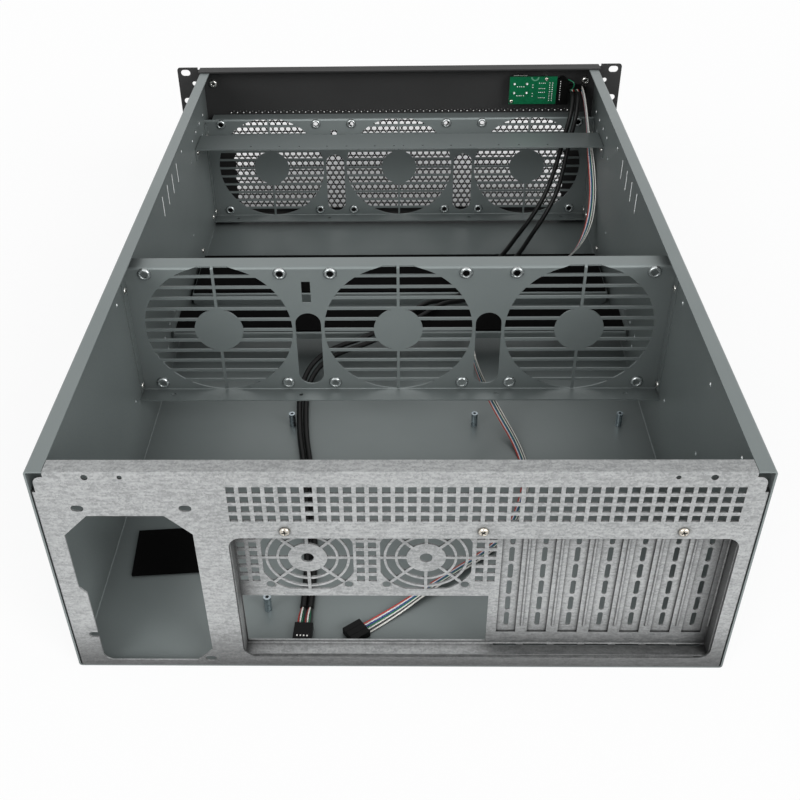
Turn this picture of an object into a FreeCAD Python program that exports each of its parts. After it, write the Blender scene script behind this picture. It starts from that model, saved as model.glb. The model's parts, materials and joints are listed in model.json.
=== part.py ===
"""Empty 4U rackmount server case, lid off, as a parametric FreeCAD document.

Frame: millimetres, origin at the centre of the footprint on the underside of the floor.
The front panel faces -Y, the rear panel faces +Y and +Z is up.
"""

import FreeCAD, Part

import math
import os

import Sketcher

from FreeCAD import Placement, Rotation, Vector

# ------------------------------------------------------------------ driving dimensions

SIZES = {
    # case body
    "case_width": 430.0,
    "case_depth": 650.0,
    "case_height": 175.0,
    "steel": 1.2,
    "bend": 0.8,
    "lip_width": 10.7,
    "seam": 0.3,
    # rear panel
    "rear_flange": 12.0,
    "rear_lip": 10.2,
    "rear_gap": 3.0,
    "rear_gap_drop": 16.0,
    "rear_corner": 5.0,
    "rear_relief": 3.0,
    "lid_hole_drop": 4.5,
    "lid_hole_outer": 180.2,
    "lid_hole_inner": 159.8,
    "lid_hole_bore": 2.1,
    "lid_thread": 1.5,
    "window_left": 204.5,
    "window_right": 102.5,
    "window_low": 10.0,
    "window_high": 121.2,
    "window_round": 8.0,
    "window_lip": 8.5,
    "window_lip_inset": 10.0,
    # power supply opening, turned on its side
    "supply_inner": 123.0,
    "supply_width": 78.0,
    "supply_low": 5.8,
    "supply_height": 134.0,
    "supply_corner": 15.3,
    "supply_corner_outer": 16.4,
    "supply_slope": 5.4,
    "supply_round": 7.0,
    "supply_foot": 11.0,
    "supply_step": 4.3,
    "supply_step_height": 66.0,
    "supply_screw_long": 138.0,
    "supply_screw_wide": 64.0,
    "supply_screw_low": 74.0,
    "supply_screw_rise": 24.0,
    "supply_screw_slot": 7.6,
    "supply_screw_bore": 5.0,
    # rear vent grid
    "vent_square": 5.0,
    "vent_pitch": 7.56,
    "vent_columns": 40,
    "vent_rows": 4,
    "vent_low": 135.3,
    "vent_left": 200.2,
    # recessed rear pan
    "pan_recess": 10.4,
    "pan_flange": 6.5,
    "pan_bend": 1.2,
    "pan_top_flange": 12.0,
    "pan_screw_height": 127.3,
    "pan_screw_pitch": 118.5,
    "pan_screw_middle": 51.0,
    "rear_screw": 1.5,
    "rear_screw_length": 4.2,
    "rear_screw_head": 3.25,
    "rear_screw_dome": 1.9,
    "cover_screw_head": 3.0,
    "cover_screw_aside": 5.0,
    "cover_screw_depth": 4.5,
    "io_wide": 158.8,
    "io_high": 44.45,
    "io_low": 14.0,
    "io_margin": 0.8,
    # 60 mm grilles in the pan
    "grille_height": 93.5,
    "grille_pitch": 74.1,
    "grille_first": 56.5,
    "grille_half": 28.6,
    "grille_round": 31.5,
    "grille_hub": 12.3,
    "grille_eye": 4.0,
    "grille_ring": 1.6,
    "grille_ring_inner": 18.7,
    "grille_ring_outer": 25.8,
    "grille_spoke": 2.0,
    "grille_screw_pitch": 50.0,
    "grille_screw_bore": 2.7,
    "grille_screw_rim": 3.7,
    "grille_screw_sink": 0.6,
    "pan_vent_pitch": 7.5,
    "pan_vent_low": 72.0,
    # expansion slots
    "slot_pitch": 20.32,
    "slot_first": 70.9,
    "slot_wide": 12.7,
    "slot_low": 23.3,
    "slot_high": 117.8,
    "cover_steel": 1.0,
    "cover_wide": 18.6,
    "cover_low": 17.0,
    "cover_tongue_wide": 10.2,
    "cover_tongue": 4.0,
    "cover_vent_wide": 3.3,
    "cover_vent_high": 12.8,
    "cover_vent_pitch": 15.1,
    "cover_vent_first": 35.2,
    "bead_radius": 0.9,
    "tongue_slot_wide": 15.7,
    "tongue_slot": 1.4,
    "tongue_slot_gap": 0.6,
    # fan walls
    "fan_wall_height": 118.7,
    "fan_wall_flange": 15.0,
    "fan_wall_side": 9.0,
    "mid_wall_depth": 243.0,
    "mid_wall_lift": 47.0,
    "front_wall_gap": 20.0,
    "front_wall_lift": 6.2,
    "fan_pitch": 144.0,
    "fan_centre": 60.7,
    "fan_round": 59.2,
    "fan_hub": 19.5,
    "fan_bar": 2.4,
    "fan_bar_pitch": 10.0,
    "fan_spoke": 2.2,
    "fan_screw_pitch": 105.0,
    "fan_screw_bore": 2.7,
    "fan_boss": 5.3,
    "fan_boss_top": 4.0,
    "fan_boss_rise": 1.5,
    "fan_boss_skin": 1.1,
    "mid_wall_relief": 2.0,
    "front_wall_relief": 8.0,
    "pass_wide": 20.5,
    "pass_low": 6.6,
    "pass_high": 76.5,
    "wire_window_wide": 7.0,
    "wire_window_high": 19.4,
    "wire_window_low": 86.3,
    "foot_hole_outer": 187.0,
    "foot_hole_inner": 81.0,
    "foot_hole": 1.9,
    "rivet_low": 8.5,
    "rivet_high": 101.0,
    "rivet_shank": 1.6,
    "rivet_head": 3.0,
    "rivet_dome": 1.1,
    # cross bar
    "bar_gap": 54.0,
    "bar_width": 36.0,
    "bar_top": 121.3,
    "bar_tab_wide": 20.0,
    "bar_tab_drop": 13.0,
    "bar_screw_inset": 7.0,
    "bar_screw_drop": 6.5,
    "bar_hole": 1.2,
    "bar_hole_inset": 6.5,
    # support rails on the floor
    "rail_width": 420.8,
    "front_rail_depth": 445.5,
    "front_rail_length": 75.5,
    "front_rail_top": 15.0,
    "rear_rail_depth": 350.0,
    "rear_rail_length": 42.0,
    "rear_rail_top": 32.0,
    "rear_rail_skirt": 7.0,
    "rear_rail_tab": 14.0,
    "rear_rail_end": 4.0,
    "rear_rail_screw": 24.4,
    "side_hole_first": 314.4,
    "side_hole_pitch": 23.3,
    "side_screw": 1.4,
    "side_screw_head": 2.8,
    "side_screw_dome": 1.5,
    "side_hole": 1.7,
    "side_slot_first": 398.9,
    "side_slot_pitch": 23.5,
    "side_slot_wide": 1.8,
    "side_slot_low": 128.0,
    "side_slot_high": 148.0,
    "rack_screw_near": 534.5,
    "rack_screw_far": 612.0,
    "rack_screw_level": 14.8,
    "rail_corner": 5.0,
    "pad_thick": 2.0,
    "pad_margin": 1.5,
    # pad in the power supply bay
    "supply_pad_depth": 77.9,
    "supply_pad_length": 45.0,
    "supply_pad_width": 75.0,
    "supply_pad_inset": 19.0,
    "supply_pad_turn": 4.6,
    # motherboard standoffs
    "standoff_height": 13.0,
    "standoff_radius": 2.7,
    "standoff_bore": 1.25,
    "board_edge_depth": 14.6,
    "standoff_left": 92.2,
    "standoff_row_ports": 33.02,
    "standoff_row_rear": 10.16,
    "standoff_row_mid": 165.1,
    "standoff_row_front": 237.49,
    "standoff_column_mid": 157.48,
    "standoff_column_right": 281.94,
    # front panel
    "panel_width": 482.6,
    "panel_steel": 1.5,
    "panel_return": 13.5,
    "panel_return_width": 432.0,
    "panel_corner": 3.0,
    "panel_relief": 3.0,
    "rack_slot_wide": 10.2,
    "rack_slot_high": 7.0,
    "rack_width": 465.1,
    "rack_first": 5.7,
    "rack_second": 37.45,
    "ear_hole_offset": 224.0,
    "ear_hole": 2.6,
    "mesh_columns": 15,
    "mesh_rows": 8,
    "mesh_hole": 5.6,
    "mesh_pitch_x": 25.0,
    "mesh_pitch_z": 15.0,
    "mesh_low": 12.0,
    # handles
    "handle_offset": 203.5,
    "handle_low": 18.7,
    "handle_high": 158.7,
    "handle_reach": 38.0,
    "handle_bar": 5.0,
    "handle_turn": 12.0,
    "handle_screw": 2.5,
    "handle_screw_head": 4.4,
    # boards behind the front panel
    "board_gap": 8.0,
    "board_thick": 1.6,
    "usb_board_left": 120.5,
    "usb_board_wide": 51.0,
    "usb_board_low": 136.0,
    "usb_board_high": 30.4,
    "usb_mouth_wide": 13.1,
    "usb_mouth_high": 5.7,
    "usb_inset": 12.0,
    "usb_low": 12.4,
    "usb_pitch": 10.3,
    "usb_shell": 0.4,
    "board_screw": 1.5,
    "board_spacer": 2.2,
    "board_screw_head": 2.1,
    "board_screw_a_in": 11.5,
    "board_screw_a_down": 2.4,
    "board_screw_b_in": 2.6,
    "board_screw_b_up": 3.3,
    "switch_board_wide": 12.4,
    "switch_board_gap": 0.8,
    "switch_board_drop": 1.0,
    "button_radius": 3.2,
    "button_flange": 4.2,
    "button_proud": 2.5,
    "button_travel": 1.2,
    "button_fit": 0.35,
    "reset_radius": 1.6,
    "reset_flange": 2.4,
    "lamp_radius": 1.45,
    "switch_pitch": 7.0,
    # cords
    "usb_cable_thick": 4.8,
    "lead_thick": 5.0,
    "header_wide": 12.7,
    "header_high": 5.2,
    "header_length": 15.0,
    "plug_rest": 0.2,
    "lead_plug_wide": 4.3,
    "lead_plug_pitch": 4.5,
    "lead_plug_length": 14.0,
    "board_plug_wide": 19.5,
    "board_plug_low": 148.0,
    "board_plug_high": 8.0,
}

DOC = FreeCAD.newDocument("RackmountCase")
SHEET = DOC.addObject("Spreadsheet::Sheet", "dim")
for row, (alias, number) in enumerate(SIZES.items(), start=1):
    SHEET.set(f"A{row}", alias)
    SHEET.set(f"B{row}", str(number))
    SHEET.setAlias(f"B{row}", alias)
DOC.recompute()

HALF = "dim.case_width / 2"
REAR = "dim.case_depth / 2"
FRONT = "-dim.case_depth / 2"
TOP = "dim.case_height"
INSIDE = "(dim.case_width / 2 - dim.steel)"
LIPS = "(dim.case_width / 2 - dim.lip_width)"
BENT = "(dim.bend + dim.steel)"
OVER = "1"

PARTS = []


# ------------------------------------------------------------------ modelling helpers

def value(expression):
    """Return the number that an expression on the sheet gives."""
    return float(SHEET.evalExpression(f"({expression}) * 1.0"))


def minus(expression):
    """Return the expression with its sign turned."""
    return f"-({expression})"


def behind(depth):
    """Return the y of a plane that lies the given depth in front of the rear face."""
    return f"({REAR} - ({depth}))"


def place(obj, rotation, **bases):
    """Turn an object and bind its base point to expressions."""
    obj.Placement = Placement(Vector(), rotation)
    for axis, expression in bases.items():
        obj.setExpression(f"Placement.Base.{axis}", expression)
    return obj


def box(name, x_span, y_span, z_span):
    """Make a Part::Box between two expressions along each axis."""
    solid = DOC.addObject("Part::Box", name)
    for axis, side, (low, high) in zip("xyz", ("Length", "Width", "Height"), (x_span, y_span, z_span)):
        solid.setExpression(f"Placement.Base.{axis}", low)
        solid.setExpression(side, f"({high}) - ({low})")
    return solid


TURNS = {
    "x": Rotation(Vector(0, 1, 0), 90),
    "y": Rotation(Vector(1, 0, 0), -90),
    "z": Rotation(),
}


def rod(name, axis, radius, centre, span):
    """Make a Part::Cylinder along an axis; centre gives its other two coordinates in x, y, z order."""
    solid = DOC.addObject("Part::Cylinder", name)
    low, high = span
    across = iter(centre)
    bases = {letter: low if letter == axis else next(across) for letter in "xyz"}
    place(solid, TURNS[axis], **bases)
    solid.setExpression("Radius", radius)
    solid.setExpression("Height", f"({high}) - ({low})")
    return solid


def cone(name, axis, radii, centre, span):
    """Make a Part::Cone along an axis, from its first radius to its second."""
    solid = DOC.addObject("Part::Cone", name)
    low, high = span
    across = iter(centre)
    bases = {letter: low if letter == axis else next(across) for letter in "xyz"}
    place(solid, TURNS[axis], **bases)
    solid.setExpression("Radius1", radii[0])
    solid.setExpression("Radius2", radii[1])
    solid.setExpression("Height", f"({high}) - ({low})")
    return solid


def group(name, solids):
    """Hold several solids as one compound."""
    compound = DOC.addObject("Part::Compound", name)
    compound.Links = solids
    return compound


def fuse(name, solids):
    """Join solids into one."""
    joined = DOC.addObject("Part::MultiFuse", name)
    joined.Shapes = solids
    joined.Refine = True
    return joined


def cut(name, base, tools):
    """Cut solids that don't meet each other out of a base."""
    result = DOC.addObject("Part::Cut", name)
    result.Base = base
    result.Tool = tools[0] if len(tools) == 1 else group(f"{name}_tools", tools)
    return result


def rounded(name, base, picks):
    """Round straight edges: each pick is an axis, the places of the edge across it, and a radius."""
    DOC.recompute()
    result = DOC.addObject("Part::Fillet", name)
    result.Base = base
    chosen = []
    for axis, places, radius in picks:
        wanted = {letter: value(place_of) for letter, place_of in places.items()}
        for index, edge in enumerate(base.Shape.Edges, start=1):
            ends = [vertex.Point for vertex in edge.Vertexes]
            if len(ends) != 2 or (ends[1] - ends[0]).Length < 1e-6:
                continue
            along = (ends[1] - ends[0]).normalize()
            if abs(abs(getattr(along, axis)) - 1) > 1e-6:
                continue
            misses = [abs(getattr(end, letter) - number) for end in ends for letter, number in wanted.items()]
            if max(misses) < 1e-3:
                chosen.append((index, value(radius), value(radius)))
    if not chosen:
        raise ValueError(f"no edge of {base.Name} lies where {name} looks")
    result.Edges = chosen
    return result


PLANES = {
    "xy": (Rotation(), Vector(0, 0, 1), "z"),
    "xz": (Rotation(Vector(1, 0, 0), 90), Vector(0, 1, 0), "y"),
    "yz": (Rotation(Vector(1, 1, 1), 120), Vector(1, 0, 0), "x"),
}


def prism(name, plane, corners, span):
    """Extrude a closed outline, whose corners are pairs of expressions, between two expressions."""
    rotation, direction, axis = PLANES[plane]
    low, high = span
    sketch = DOC.addObject("Sketcher::SketchObject", f"{name}_outline")
    place(sketch, rotation, **{axis: low})
    points = [Vector(value(first), value(second), 0) for first, second in corners]
    count = len(points)
    for start, end in zip(points, points[1:] + points[:1]):
        sketch.addGeometry(Part.LineSegment(start, end), False)
    for index in range(count):
        sketch.addConstraint(Sketcher.Constraint("Coincident", index, 2, (index + 1) % count, 1))
    for index, (corner, point) in enumerate(zip(corners, points)):
        for kind, expression, number in zip(("DistanceX", "DistanceY"), corner, point):
            row = sketch.addConstraint(Sketcher.Constraint(kind, -1, 1, index, 1, number))
            sketch.setExpression(f"Constraints[{row}]", expression)
    solid = DOC.addObject("Part::Extrusion", name)
    solid.Base = sketch
    solid.DirMode = "Custom"
    solid.Dir = direction
    solid.Solid = True
    solid.setExpression("LengthFwd", f"({high}) - ({low})")
    return solid


def part(label, obj):
    """Register a finished sub-part under its node name."""
    obj.Label = label
    PARTS.append(obj)
    return obj


def obround(name, wide, high, centre, y_span):
    """Make the three tools of an upright obround slot through a wall across Y."""
    x, z = centre
    half = f"({high} - {wide}) / 2"
    middle = box(f"{name}_middle", (f"{x} - {wide} / 2", f"{x} + {wide} / 2"), y_span,
                 (f"{z} - {half}", f"{z} + {half}"))
    low = rod(f"{name}_low", "y", f"{wide} / 2", (x, f"{z} - {half}"), y_span)
    upper = rod(f"{name}_high", "y", f"{wide} / 2", (x, f"{z} + {half}"), y_span)
    return fuse(name, [middle, low, upper])


# ------------------------------------------------------------------ what is fixed through both sides

MID_FACE = behind("dim.mid_wall_depth")
FRONT_FACE = f"({FRONT} + dim.front_wall_gap)"
BAR_REAR = f"({FRONT} + dim.bar_gap + dim.bar_width)"
BOTH_SIDES = (f"{minus(HALF)} - {OVER}", f"{HALF} + {OVER}")
# the sheet that lies against the inside of each side, as its low and high x
CHEEKS = (("a", f"({INSIDE} - dim.steel)", INSIDE), ("b", minus(INSIDE), f"(-{INSIDE} + dim.steel)"))


def rivet_places(face, lift):
    """Return the y and z of the rivets in a fan wall's cheeks."""
    y = f"({face} + dim.fan_wall_side / 2)"
    return [(y, f"({lift} + {level})") for level in ("dim.rivet_low", "dim.rivet_high")]


BAR_SCREW_PLACES = [(f"({BAR_REAR} - dim.bar_screw_inset)", "(dim.bar_top - dim.bar_screw_drop)")]
RAIL_SCREW_PLACES = [(behind(f"dim.side_hole_first + {row} * dim.side_hole_pitch"), "dim.rear_rail_screw")
                     for row in (2, 3)]


RACK_SCREW_PLACES = [(behind("dim.rack_screw_near"), "dim.rack_screw_level"),
                     (behind("dim.rack_screw_far"), "dim.rack_screw_level")]

# plain round holes in both sides: depth of the first from the rear, height, count, pitch
SIDE_HOLE_ROWS = (
    (553.2, 133.6, 4, 23.0), (537.0, 118.2, 2, 70.5), (498.5, 146.8, 1, 0), (501.5, 52.4, 1, 0),
    (332.2, 38.8, 4, 23.3), (314.4, 24.4, 2, 23.3), (216.5, 148.5, 1, 0), (216.5, 55.8, 1, 0),
)
# plain round holes in the right side only: depth from the rear, height
RIGHT_HOLES = ((126.4, 140.2), (125.5, 78.7), (48.4, 142.0))


def side_holes(name, radius, places):
    """Tools for the same holes through both sides of the case."""
    return [rod(f"{name}_{index}", "x", radius, at, BOTH_SIDES) for index, at in enumerate(places)]


# ------------------------------------------------------------------ chassis tray

def chassis_tray():
    """Floor, both sides and the lips along their tops, folded from one sheet."""
    long = (FRONT, REAR)
    beyond = (f"{FRONT} - {OVER}", f"{REAR} + {OVER}")
    outer = box("tray_outer", (minus(HALF), HALF), long, ("0", TOP))
    outer = rounded("tray_outer_bends", outer, [
        ("y", {"x": side, "z": level}, BENT) for side in (HALF, minus(HALF)) for level in ("0", TOP)
    ])
    inner = box("tray_inner", (minus(INSIDE), INSIDE), beyond, ("dim.steel", f"{TOP} - dim.steel"))
    inner = rounded("tray_inner_bends", inner, [
        ("y", {"x": side, "z": level}, "dim.bend")
        for side in (INSIDE, minus(INSIDE)) for level in ("dim.steel", f"{TOP} - dim.steel")
    ])
    shell = cut("tray_shell", outer, [inner])
    mouth = box("tray_mouth", (minus(LIPS), LIPS), beyond, (f"{TOP} - dim.steel - {OVER}", f"{TOP} + {OVER}"))
    tray = cut("tray_open", shell, [mouth])
    tools = []
    for index in range(4):
        y = behind(f"dim.side_slot_first + {index} * dim.side_slot_pitch")
        tools.append(box(f"side_slot_{index}", BOTH_SIDES,
                         (f"{y} - dim.side_slot_wide / 2", f"{y} + dim.side_slot_wide / 2"),
                         ("dim.side_slot_low", "dim.side_slot_high")))
    for row, (depth, height, count, pitch) in enumerate(SIDE_HOLE_ROWS):
        places = [(behind(f"{depth} + {index} * {pitch}"), f"{height}") for index in range(count)]
        tools.extend(side_holes(f"side_hole_{row}", "dim.side_hole", places))
    for index, (depth, height) in enumerate(RIGHT_HOLES):
        tools.append(rod(f"right_hole_{index}", "x", "dim.side_hole", (behind(f"{depth}"), f"{height}"),
                         (f"{minus(HALF)} - {OVER}", minus(LIPS))))
    tools.extend(side_holes("rack_screw_hole", "dim.side_screw", RACK_SCREW_PLACES))
    rivets = rivet_places(MID_FACE, "dim.mid_wall_lift") + rivet_places(FRONT_FACE, "dim.front_wall_lift")
    tools.extend(side_holes("side_rivet_hole", "dim.rivet_shank", rivets))
    tools.extend(side_holes("side_screw_hole", "dim.side_screw", BAR_SCREW_PLACES + RAIL_SCREW_PLACES))
    part("chassis_tray", cut("chassis_tray", tray, tools))


# ------------------------------------------------------------------ rear panel

def supply_opening(y_span):
    """Tools for the power supply opening and its four screw slots, kept clear of each other."""
    left = "(dim.supply_inner + dim.supply_width)"
    high = "(dim.supply_low + dim.supply_height)"
    foot = "(dim.supply_low + dim.supply_step_height)"
    inner_left = f"({left} - dim.supply_step)"
    corners = [
        ("dim.supply_inner", f"{high} - dim.supply_corner"),
        ("dim.supply_inner + dim.supply_corner", high),
        (f"{left} - dim.supply_corner_outer", high),
        (left, f"{high} - dim.supply_corner_outer"),
        (left, f"{foot} + dim.supply_slope"),
        (inner_left, foot),
        (inner_left, "dim.supply_low"),
        ("dim.supply_inner + dim.supply_foot", "dim.supply_low"),
        ("dim.supply_inner", "dim.supply_low + dim.supply_foot"),
    ]
    opening = rounded("supply_opening_round", prism("supply_opening", "xz", corners, y_span), [
        ("y", {"x": inner_left, "z": "dim.supply_low"}, "dim.supply_round"),
    ])
    near = "(dim.supply_inner + 2)"
    low = "(dim.supply_low + 2)"
    places = (
        (near, f"{low} + dim.supply_screw_long"),
        (f"{near} + dim.supply_screw_wide", f"{low} + dim.supply_screw_long"),
        (near, low),
        (f"{near} + dim.supply_screw_low", f"{low} + dim.supply_screw_rise"),
    )
    slots = []
    for index, (x, z) in enumerate(places):
        half = "(dim.supply_screw_slot - dim.supply_screw_bore) / 2"
        radius = "dim.supply_screw_bore / 2"
        bar = box(f"supply_slot_bar_{index}", (f"{x} - {half}", f"{x} + {half}"), y_span,
                  (f"{z} - {radius}", f"{z} + {radius}"))
        ends = [rod(f"supply_slot_end_{index}_{side}", "y", radius, (f"{x} {side} {half}", z), y_span)
                for side in "-+"]
        slots.extend([bar] + ends)
    return fuse("supply_cut", [opening] + slots)


def rear_panel():
    """Galvanised rear wall with flanges, the power supply opening, the I/O window and the vent grid."""
    back = (f"{REAR} - dim.rear_flange", REAR)
    roof = f"({TOP} - dim.steel)"
    outer = box("rear_outer", (minus(INSIDE), INSIDE), back, ("dim.steel", roof))
    outer = rounded("rear_outer_bends", outer, [
        ("z", {"x": INSIDE, "y": REAR}, BENT),
        ("z", {"x": minus(INSIDE), "y": REAR}, BENT),
        ("y", {"x": INSIDE, "z": "dim.steel"}, "dim.bend + dim.seam"),
        ("y", {"x": minus(INSIDE), "z": "dim.steel"}, "dim.bend + dim.seam"),
    ])
    core = "dim.steel"
    inner_x = f"({INSIDE} - {core})"
    inner = box("rear_inner", (minus(inner_x), inner_x),
                (f"{REAR} - dim.rear_flange - {OVER}", f"{REAR} - {core}"),
                (f"2 * {core}", f"{roof} + {OVER}"))
    inner = rounded("rear_inner_bends", inner, [
        ("z", {"x": inner_x, "y": f"{REAR} - {core}"}, "dim.bend"),
        ("z", {"x": minus(inner_x), "y": f"{REAR} - {core}"}, "dim.bend"),
    ])
    cap = cut("rear_cap", outer, [inner])
    lip_x = f"({LIPS} - dim.seam)"
    lip = prism("rear_lip", "yz", [
        (REAR, f"{roof} - 1"), (REAR, TOP), (f"{REAR} - dim.rear_lip", TOP),
        (f"{REAR} - dim.rear_lip", roof), (f"{REAR} - dim.steel", roof),
        (f"{REAR} - dim.steel", f"{roof} - 1"),
    ], (minus(lip_x), lip_x))
    window_lip = box("window_lip",
                     ("-dim.window_left + dim.window_lip_inset", "dim.window_right - dim.window_lip_inset"),
                     (f"{REAR} - dim.window_lip", f"{REAR} - dim.steel / 2"),
                     ("dim.window_low - dim.steel / 2", "dim.window_low + dim.steel / 2"))
    through = (f"{REAR} - dim.steel - {OVER}", f"{REAR} + {OVER}")
    window = box("window", ("-dim.window_left", "dim.window_right"), through,
                 ("dim.window_low", "dim.window_high"))
    window = rounded("window_rounds", window, [
        ("y", {"x": side, "z": level}, "dim.window_round")
        for side in ("-dim.window_left", "dim.window_right")
        for level in ("dim.window_low", "dim.window_high")
    ])
    tools = [window, supply_opening(through)]
    tools.extend(rear_corner_gaps(roof))
    tools.append(box("supply_relief", ("dim.supply_inner - dim.rear_relief",
                                       "dim.supply_inner + dim.supply_width + dim.rear_relief"),
                     (f"{REAR} - dim.rear_flange - {OVER}", f"{REAR} - {BENT}"), ("0", "dim.supply_low")))
    for index in (-1, 0, 1):
        x = f"(-dim.pan_screw_middle + {index} * dim.pan_screw_pitch)"
        tools.append(rod(f"pan_screw_hole_{index + 1}", "y", "dim.rear_screw + 0.1",
                         (x, "dim.pan_screw_height"), through))
    for side in "+-":
        for where, radius in (("outer", "dim.lid_hole_bore"), ("inner", "dim.lid_thread")):
            tools.append(rod(f"lid_hole_{where}_{'a' if side == '+' else 'b'}", "y", radius,
                             (f"0 {side} dim.lid_hole_{where}", f"{TOP} - dim.lid_hole_drop"), through))
    tools.append(vent_grid(through))
    panel = cut("rear_cut", fuse("rear_sheet", [cap, lip]), tools)
    part("rear_panel", fuse("rear_panel", [panel, window_lip]))


def rear_corner_gaps(roof):
    """Tools that leave each upper corner of the rear panel rounded, with a gap to the tray round it."""
    drop = (f"{TOP} - dim.rear_gap_drop", f"{TOP} + {OVER}")
    depth = (f"{REAR} - dim.rear_flange - {OVER}", f"{REAR} + {OVER}")
    edge = f"({INSIDE} - dim.rear_gap)"
    sides = (
        ("a", (LIPS, HALF), (f"{LIPS} - {OVER}", edge), edge),
        ("b", (minus(HALF), minus(LIPS)), (minus(edge), f"-{LIPS} + {OVER}"), minus(edge)),
    )
    tools = []
    for side, span, stay, corner in sides:
        block = box(f"rear_gap_block_{side}", span, depth, drop)
        kept = box(f"rear_gap_kept_{side}", stay, (f"{REAR} - dim.steel - {OVER}", f"{REAR} + 2 * {OVER}"),
                   (f"{TOP} - dim.rear_gap_drop - {OVER}", f"{roof} - dim.rear_gap"))
        kept = rounded(f"rear_gap_round_{side}", kept, [
            ("y", {"x": corner, "z": f"{roof} - dim.rear_gap"}, "dim.rear_corner"),
        ])
        tools.append(cut(f"rear_gap_{side}", block, [kept]))
    return tools


def vent_grid(y_span):
    """One block for the whole vent field less the bars that stay between its squares."""
    wide = "(dim.vent_pitch * (dim.vent_columns - 1) + dim.vent_square)"
    tall = "(dim.vent_pitch * (dim.vent_rows - 1) + dim.vent_square)"
    right = "-dim.vent_left"
    field = box("vent_field", (right, f"{right} + {wide}"), y_span,
                ("dim.vent_low", f"dim.vent_low + {tall}"))
    bars = []
    beyond = (f"{REAR} - 4", f"{REAR} + 4")
    for column in range(int(SIZES["vent_columns"]) - 1):
        x = f"({right} + dim.vent_square + {column} * dim.vent_pitch)"
        bars.append(box(f"vent_post_{column}", (x, f"{x} + dim.vent_pitch - dim.vent_square"), beyond,
                        (f"dim.vent_low - {OVER}", f"dim.vent_low + {tall} + {OVER}")))
    for row in range(int(SIZES["vent_rows"]) - 1):
        z = f"(dim.vent_low + dim.vent_square + {row} * dim.vent_pitch)"
        bars.append(box(f"vent_bar_{row}", (f"{right} - {OVER}", f"{right} + {wide} + {OVER}"), beyond,
                        (z, f"{z} + dim.vent_pitch - dim.vent_square")))
    return cut("vent_grid", field, [fuse("vent_bars", bars)])


# ------------------------------------------------------------------ recessed rear pan

PAN_BACK = f"({REAR} - dim.pan_recess)"
PAN_FRONT = f"({PAN_BACK} - dim.steel)"
PAN_LEFT = "(-dim.window_left + 1)"
PAN_RIGHT = "(dim.window_right - 1)"
PAN_LOW = "(dim.window_low + dim.steel / 2 + dim.steel)"
PAN_HIGH = "(dim.window_high + 1.5)"


def slot_x(index):
    """Return the x of an expansion slot's centre line."""
    return f"(-dim.slot_first - {index} * dim.slot_pitch)"


def grille_tools(index, y_span):
    """Openings of one round fan grille: rings and spokes stay, the gaps are cut."""
    x = f"(dim.grille_first - {index} * dim.grille_pitch)"
    z = "dim.grille_height"
    centre = (x, z)
    name = f"grille_{index}"
    beyond = (f"({y_span[0]}) - 1", f"({y_span[1]}) + 1")
    square = box(f"{name}_square", (f"{x} - dim.grille_half", f"{x} + dim.grille_half"), y_span,
                 (f"{z} - dim.grille_half", f"{z} + dim.grille_half"))
    disc = DOC.addObject("Part::Common", f"{name}_field")
    disc.Base = square
    disc.Tool = rod(f"{name}_disc", "y", "dim.grille_round", centre, y_span)
    keep = [rod(f"{name}_hub", "y", "dim.grille_hub", centre, beyond)]
    for ring in ("inner", "outer"):
        middle = f"dim.grille_ring_{ring}"
        whole = rod(f"{name}_{ring}_whole", "y", f"{middle} + dim.grille_ring / 2", centre, beyond)
        hollow = rod(f"{name}_{ring}_hollow", "y", f"{middle} - dim.grille_ring / 2", centre, beyond)
        keep.append(cut(f"{name}_{ring}_ring", whole, [hollow]))
    for spoke in range(4):
        bar = DOC.addObject("Part::Box", f"{name}_spoke_{spoke}")
        bar.setExpression("Length", "2 * dim.grille_round + 2")
        bar.setExpression("Width", f"({beyond[1]}) - ({beyond[0]})")
        bar.setExpression("Height", "dim.grille_spoke")
        turn = Rotation(Vector(0, 1, 0), 45 * spoke)
        cosine = f"{math.cos(math.radians(45 * spoke)):.9f}"
        sine = f"{math.sin(math.radians(45 * spoke)):.9f}"
        along = "(dim.grille_round + 1)"
        half = "dim.grille_spoke / 2"
        bar.Placement = Placement(Vector(), turn)
        bar.setExpression("Placement.Base.x", f"{x} - {along} * {cosine} - {half} * {sine}")
        bar.setExpression("Placement.Base.y", beyond[0])
        bar.setExpression("Placement.Base.z", f"{z} + {along} * {sine} - {half} * {cosine}")
        keep.append(bar)
    gaps = cut(f"{name}_gaps", disc, [fuse(f"{name}_webs", keep)])
    tools = [gaps, rod(f"{name}_eye", "y", "dim.grille_eye", centre, y_span)]
    half = "dim.grille_screw_pitch / 2"
    for right in (-1, 1):
        for up in (-1, 1):
            at = (f"{x} + {right} * {half}", f"{z} + {up} * {half}")
            spot = f"{name}_screw_{right + 1}_{up + 1}"
            tools.append(fuse(spot, [
                rod(f"{spot}_bore", "y", "dim.grille_screw_bore", at, y_span),
                cone(f"{spot}_rim", "y", ("dim.grille_screw_bore", "dim.grille_screw_rim"), at,
                     (f"{PAN_BACK} - dim.grille_screw_sink", PAN_BACK)),
            ]))
    return tools


# left edges of the two columns of square vents beside each grille
PAN_VENT_COLUMNS = (95.2, 87.7, 21.0, 13.5, -53.7, -61.2)


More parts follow.
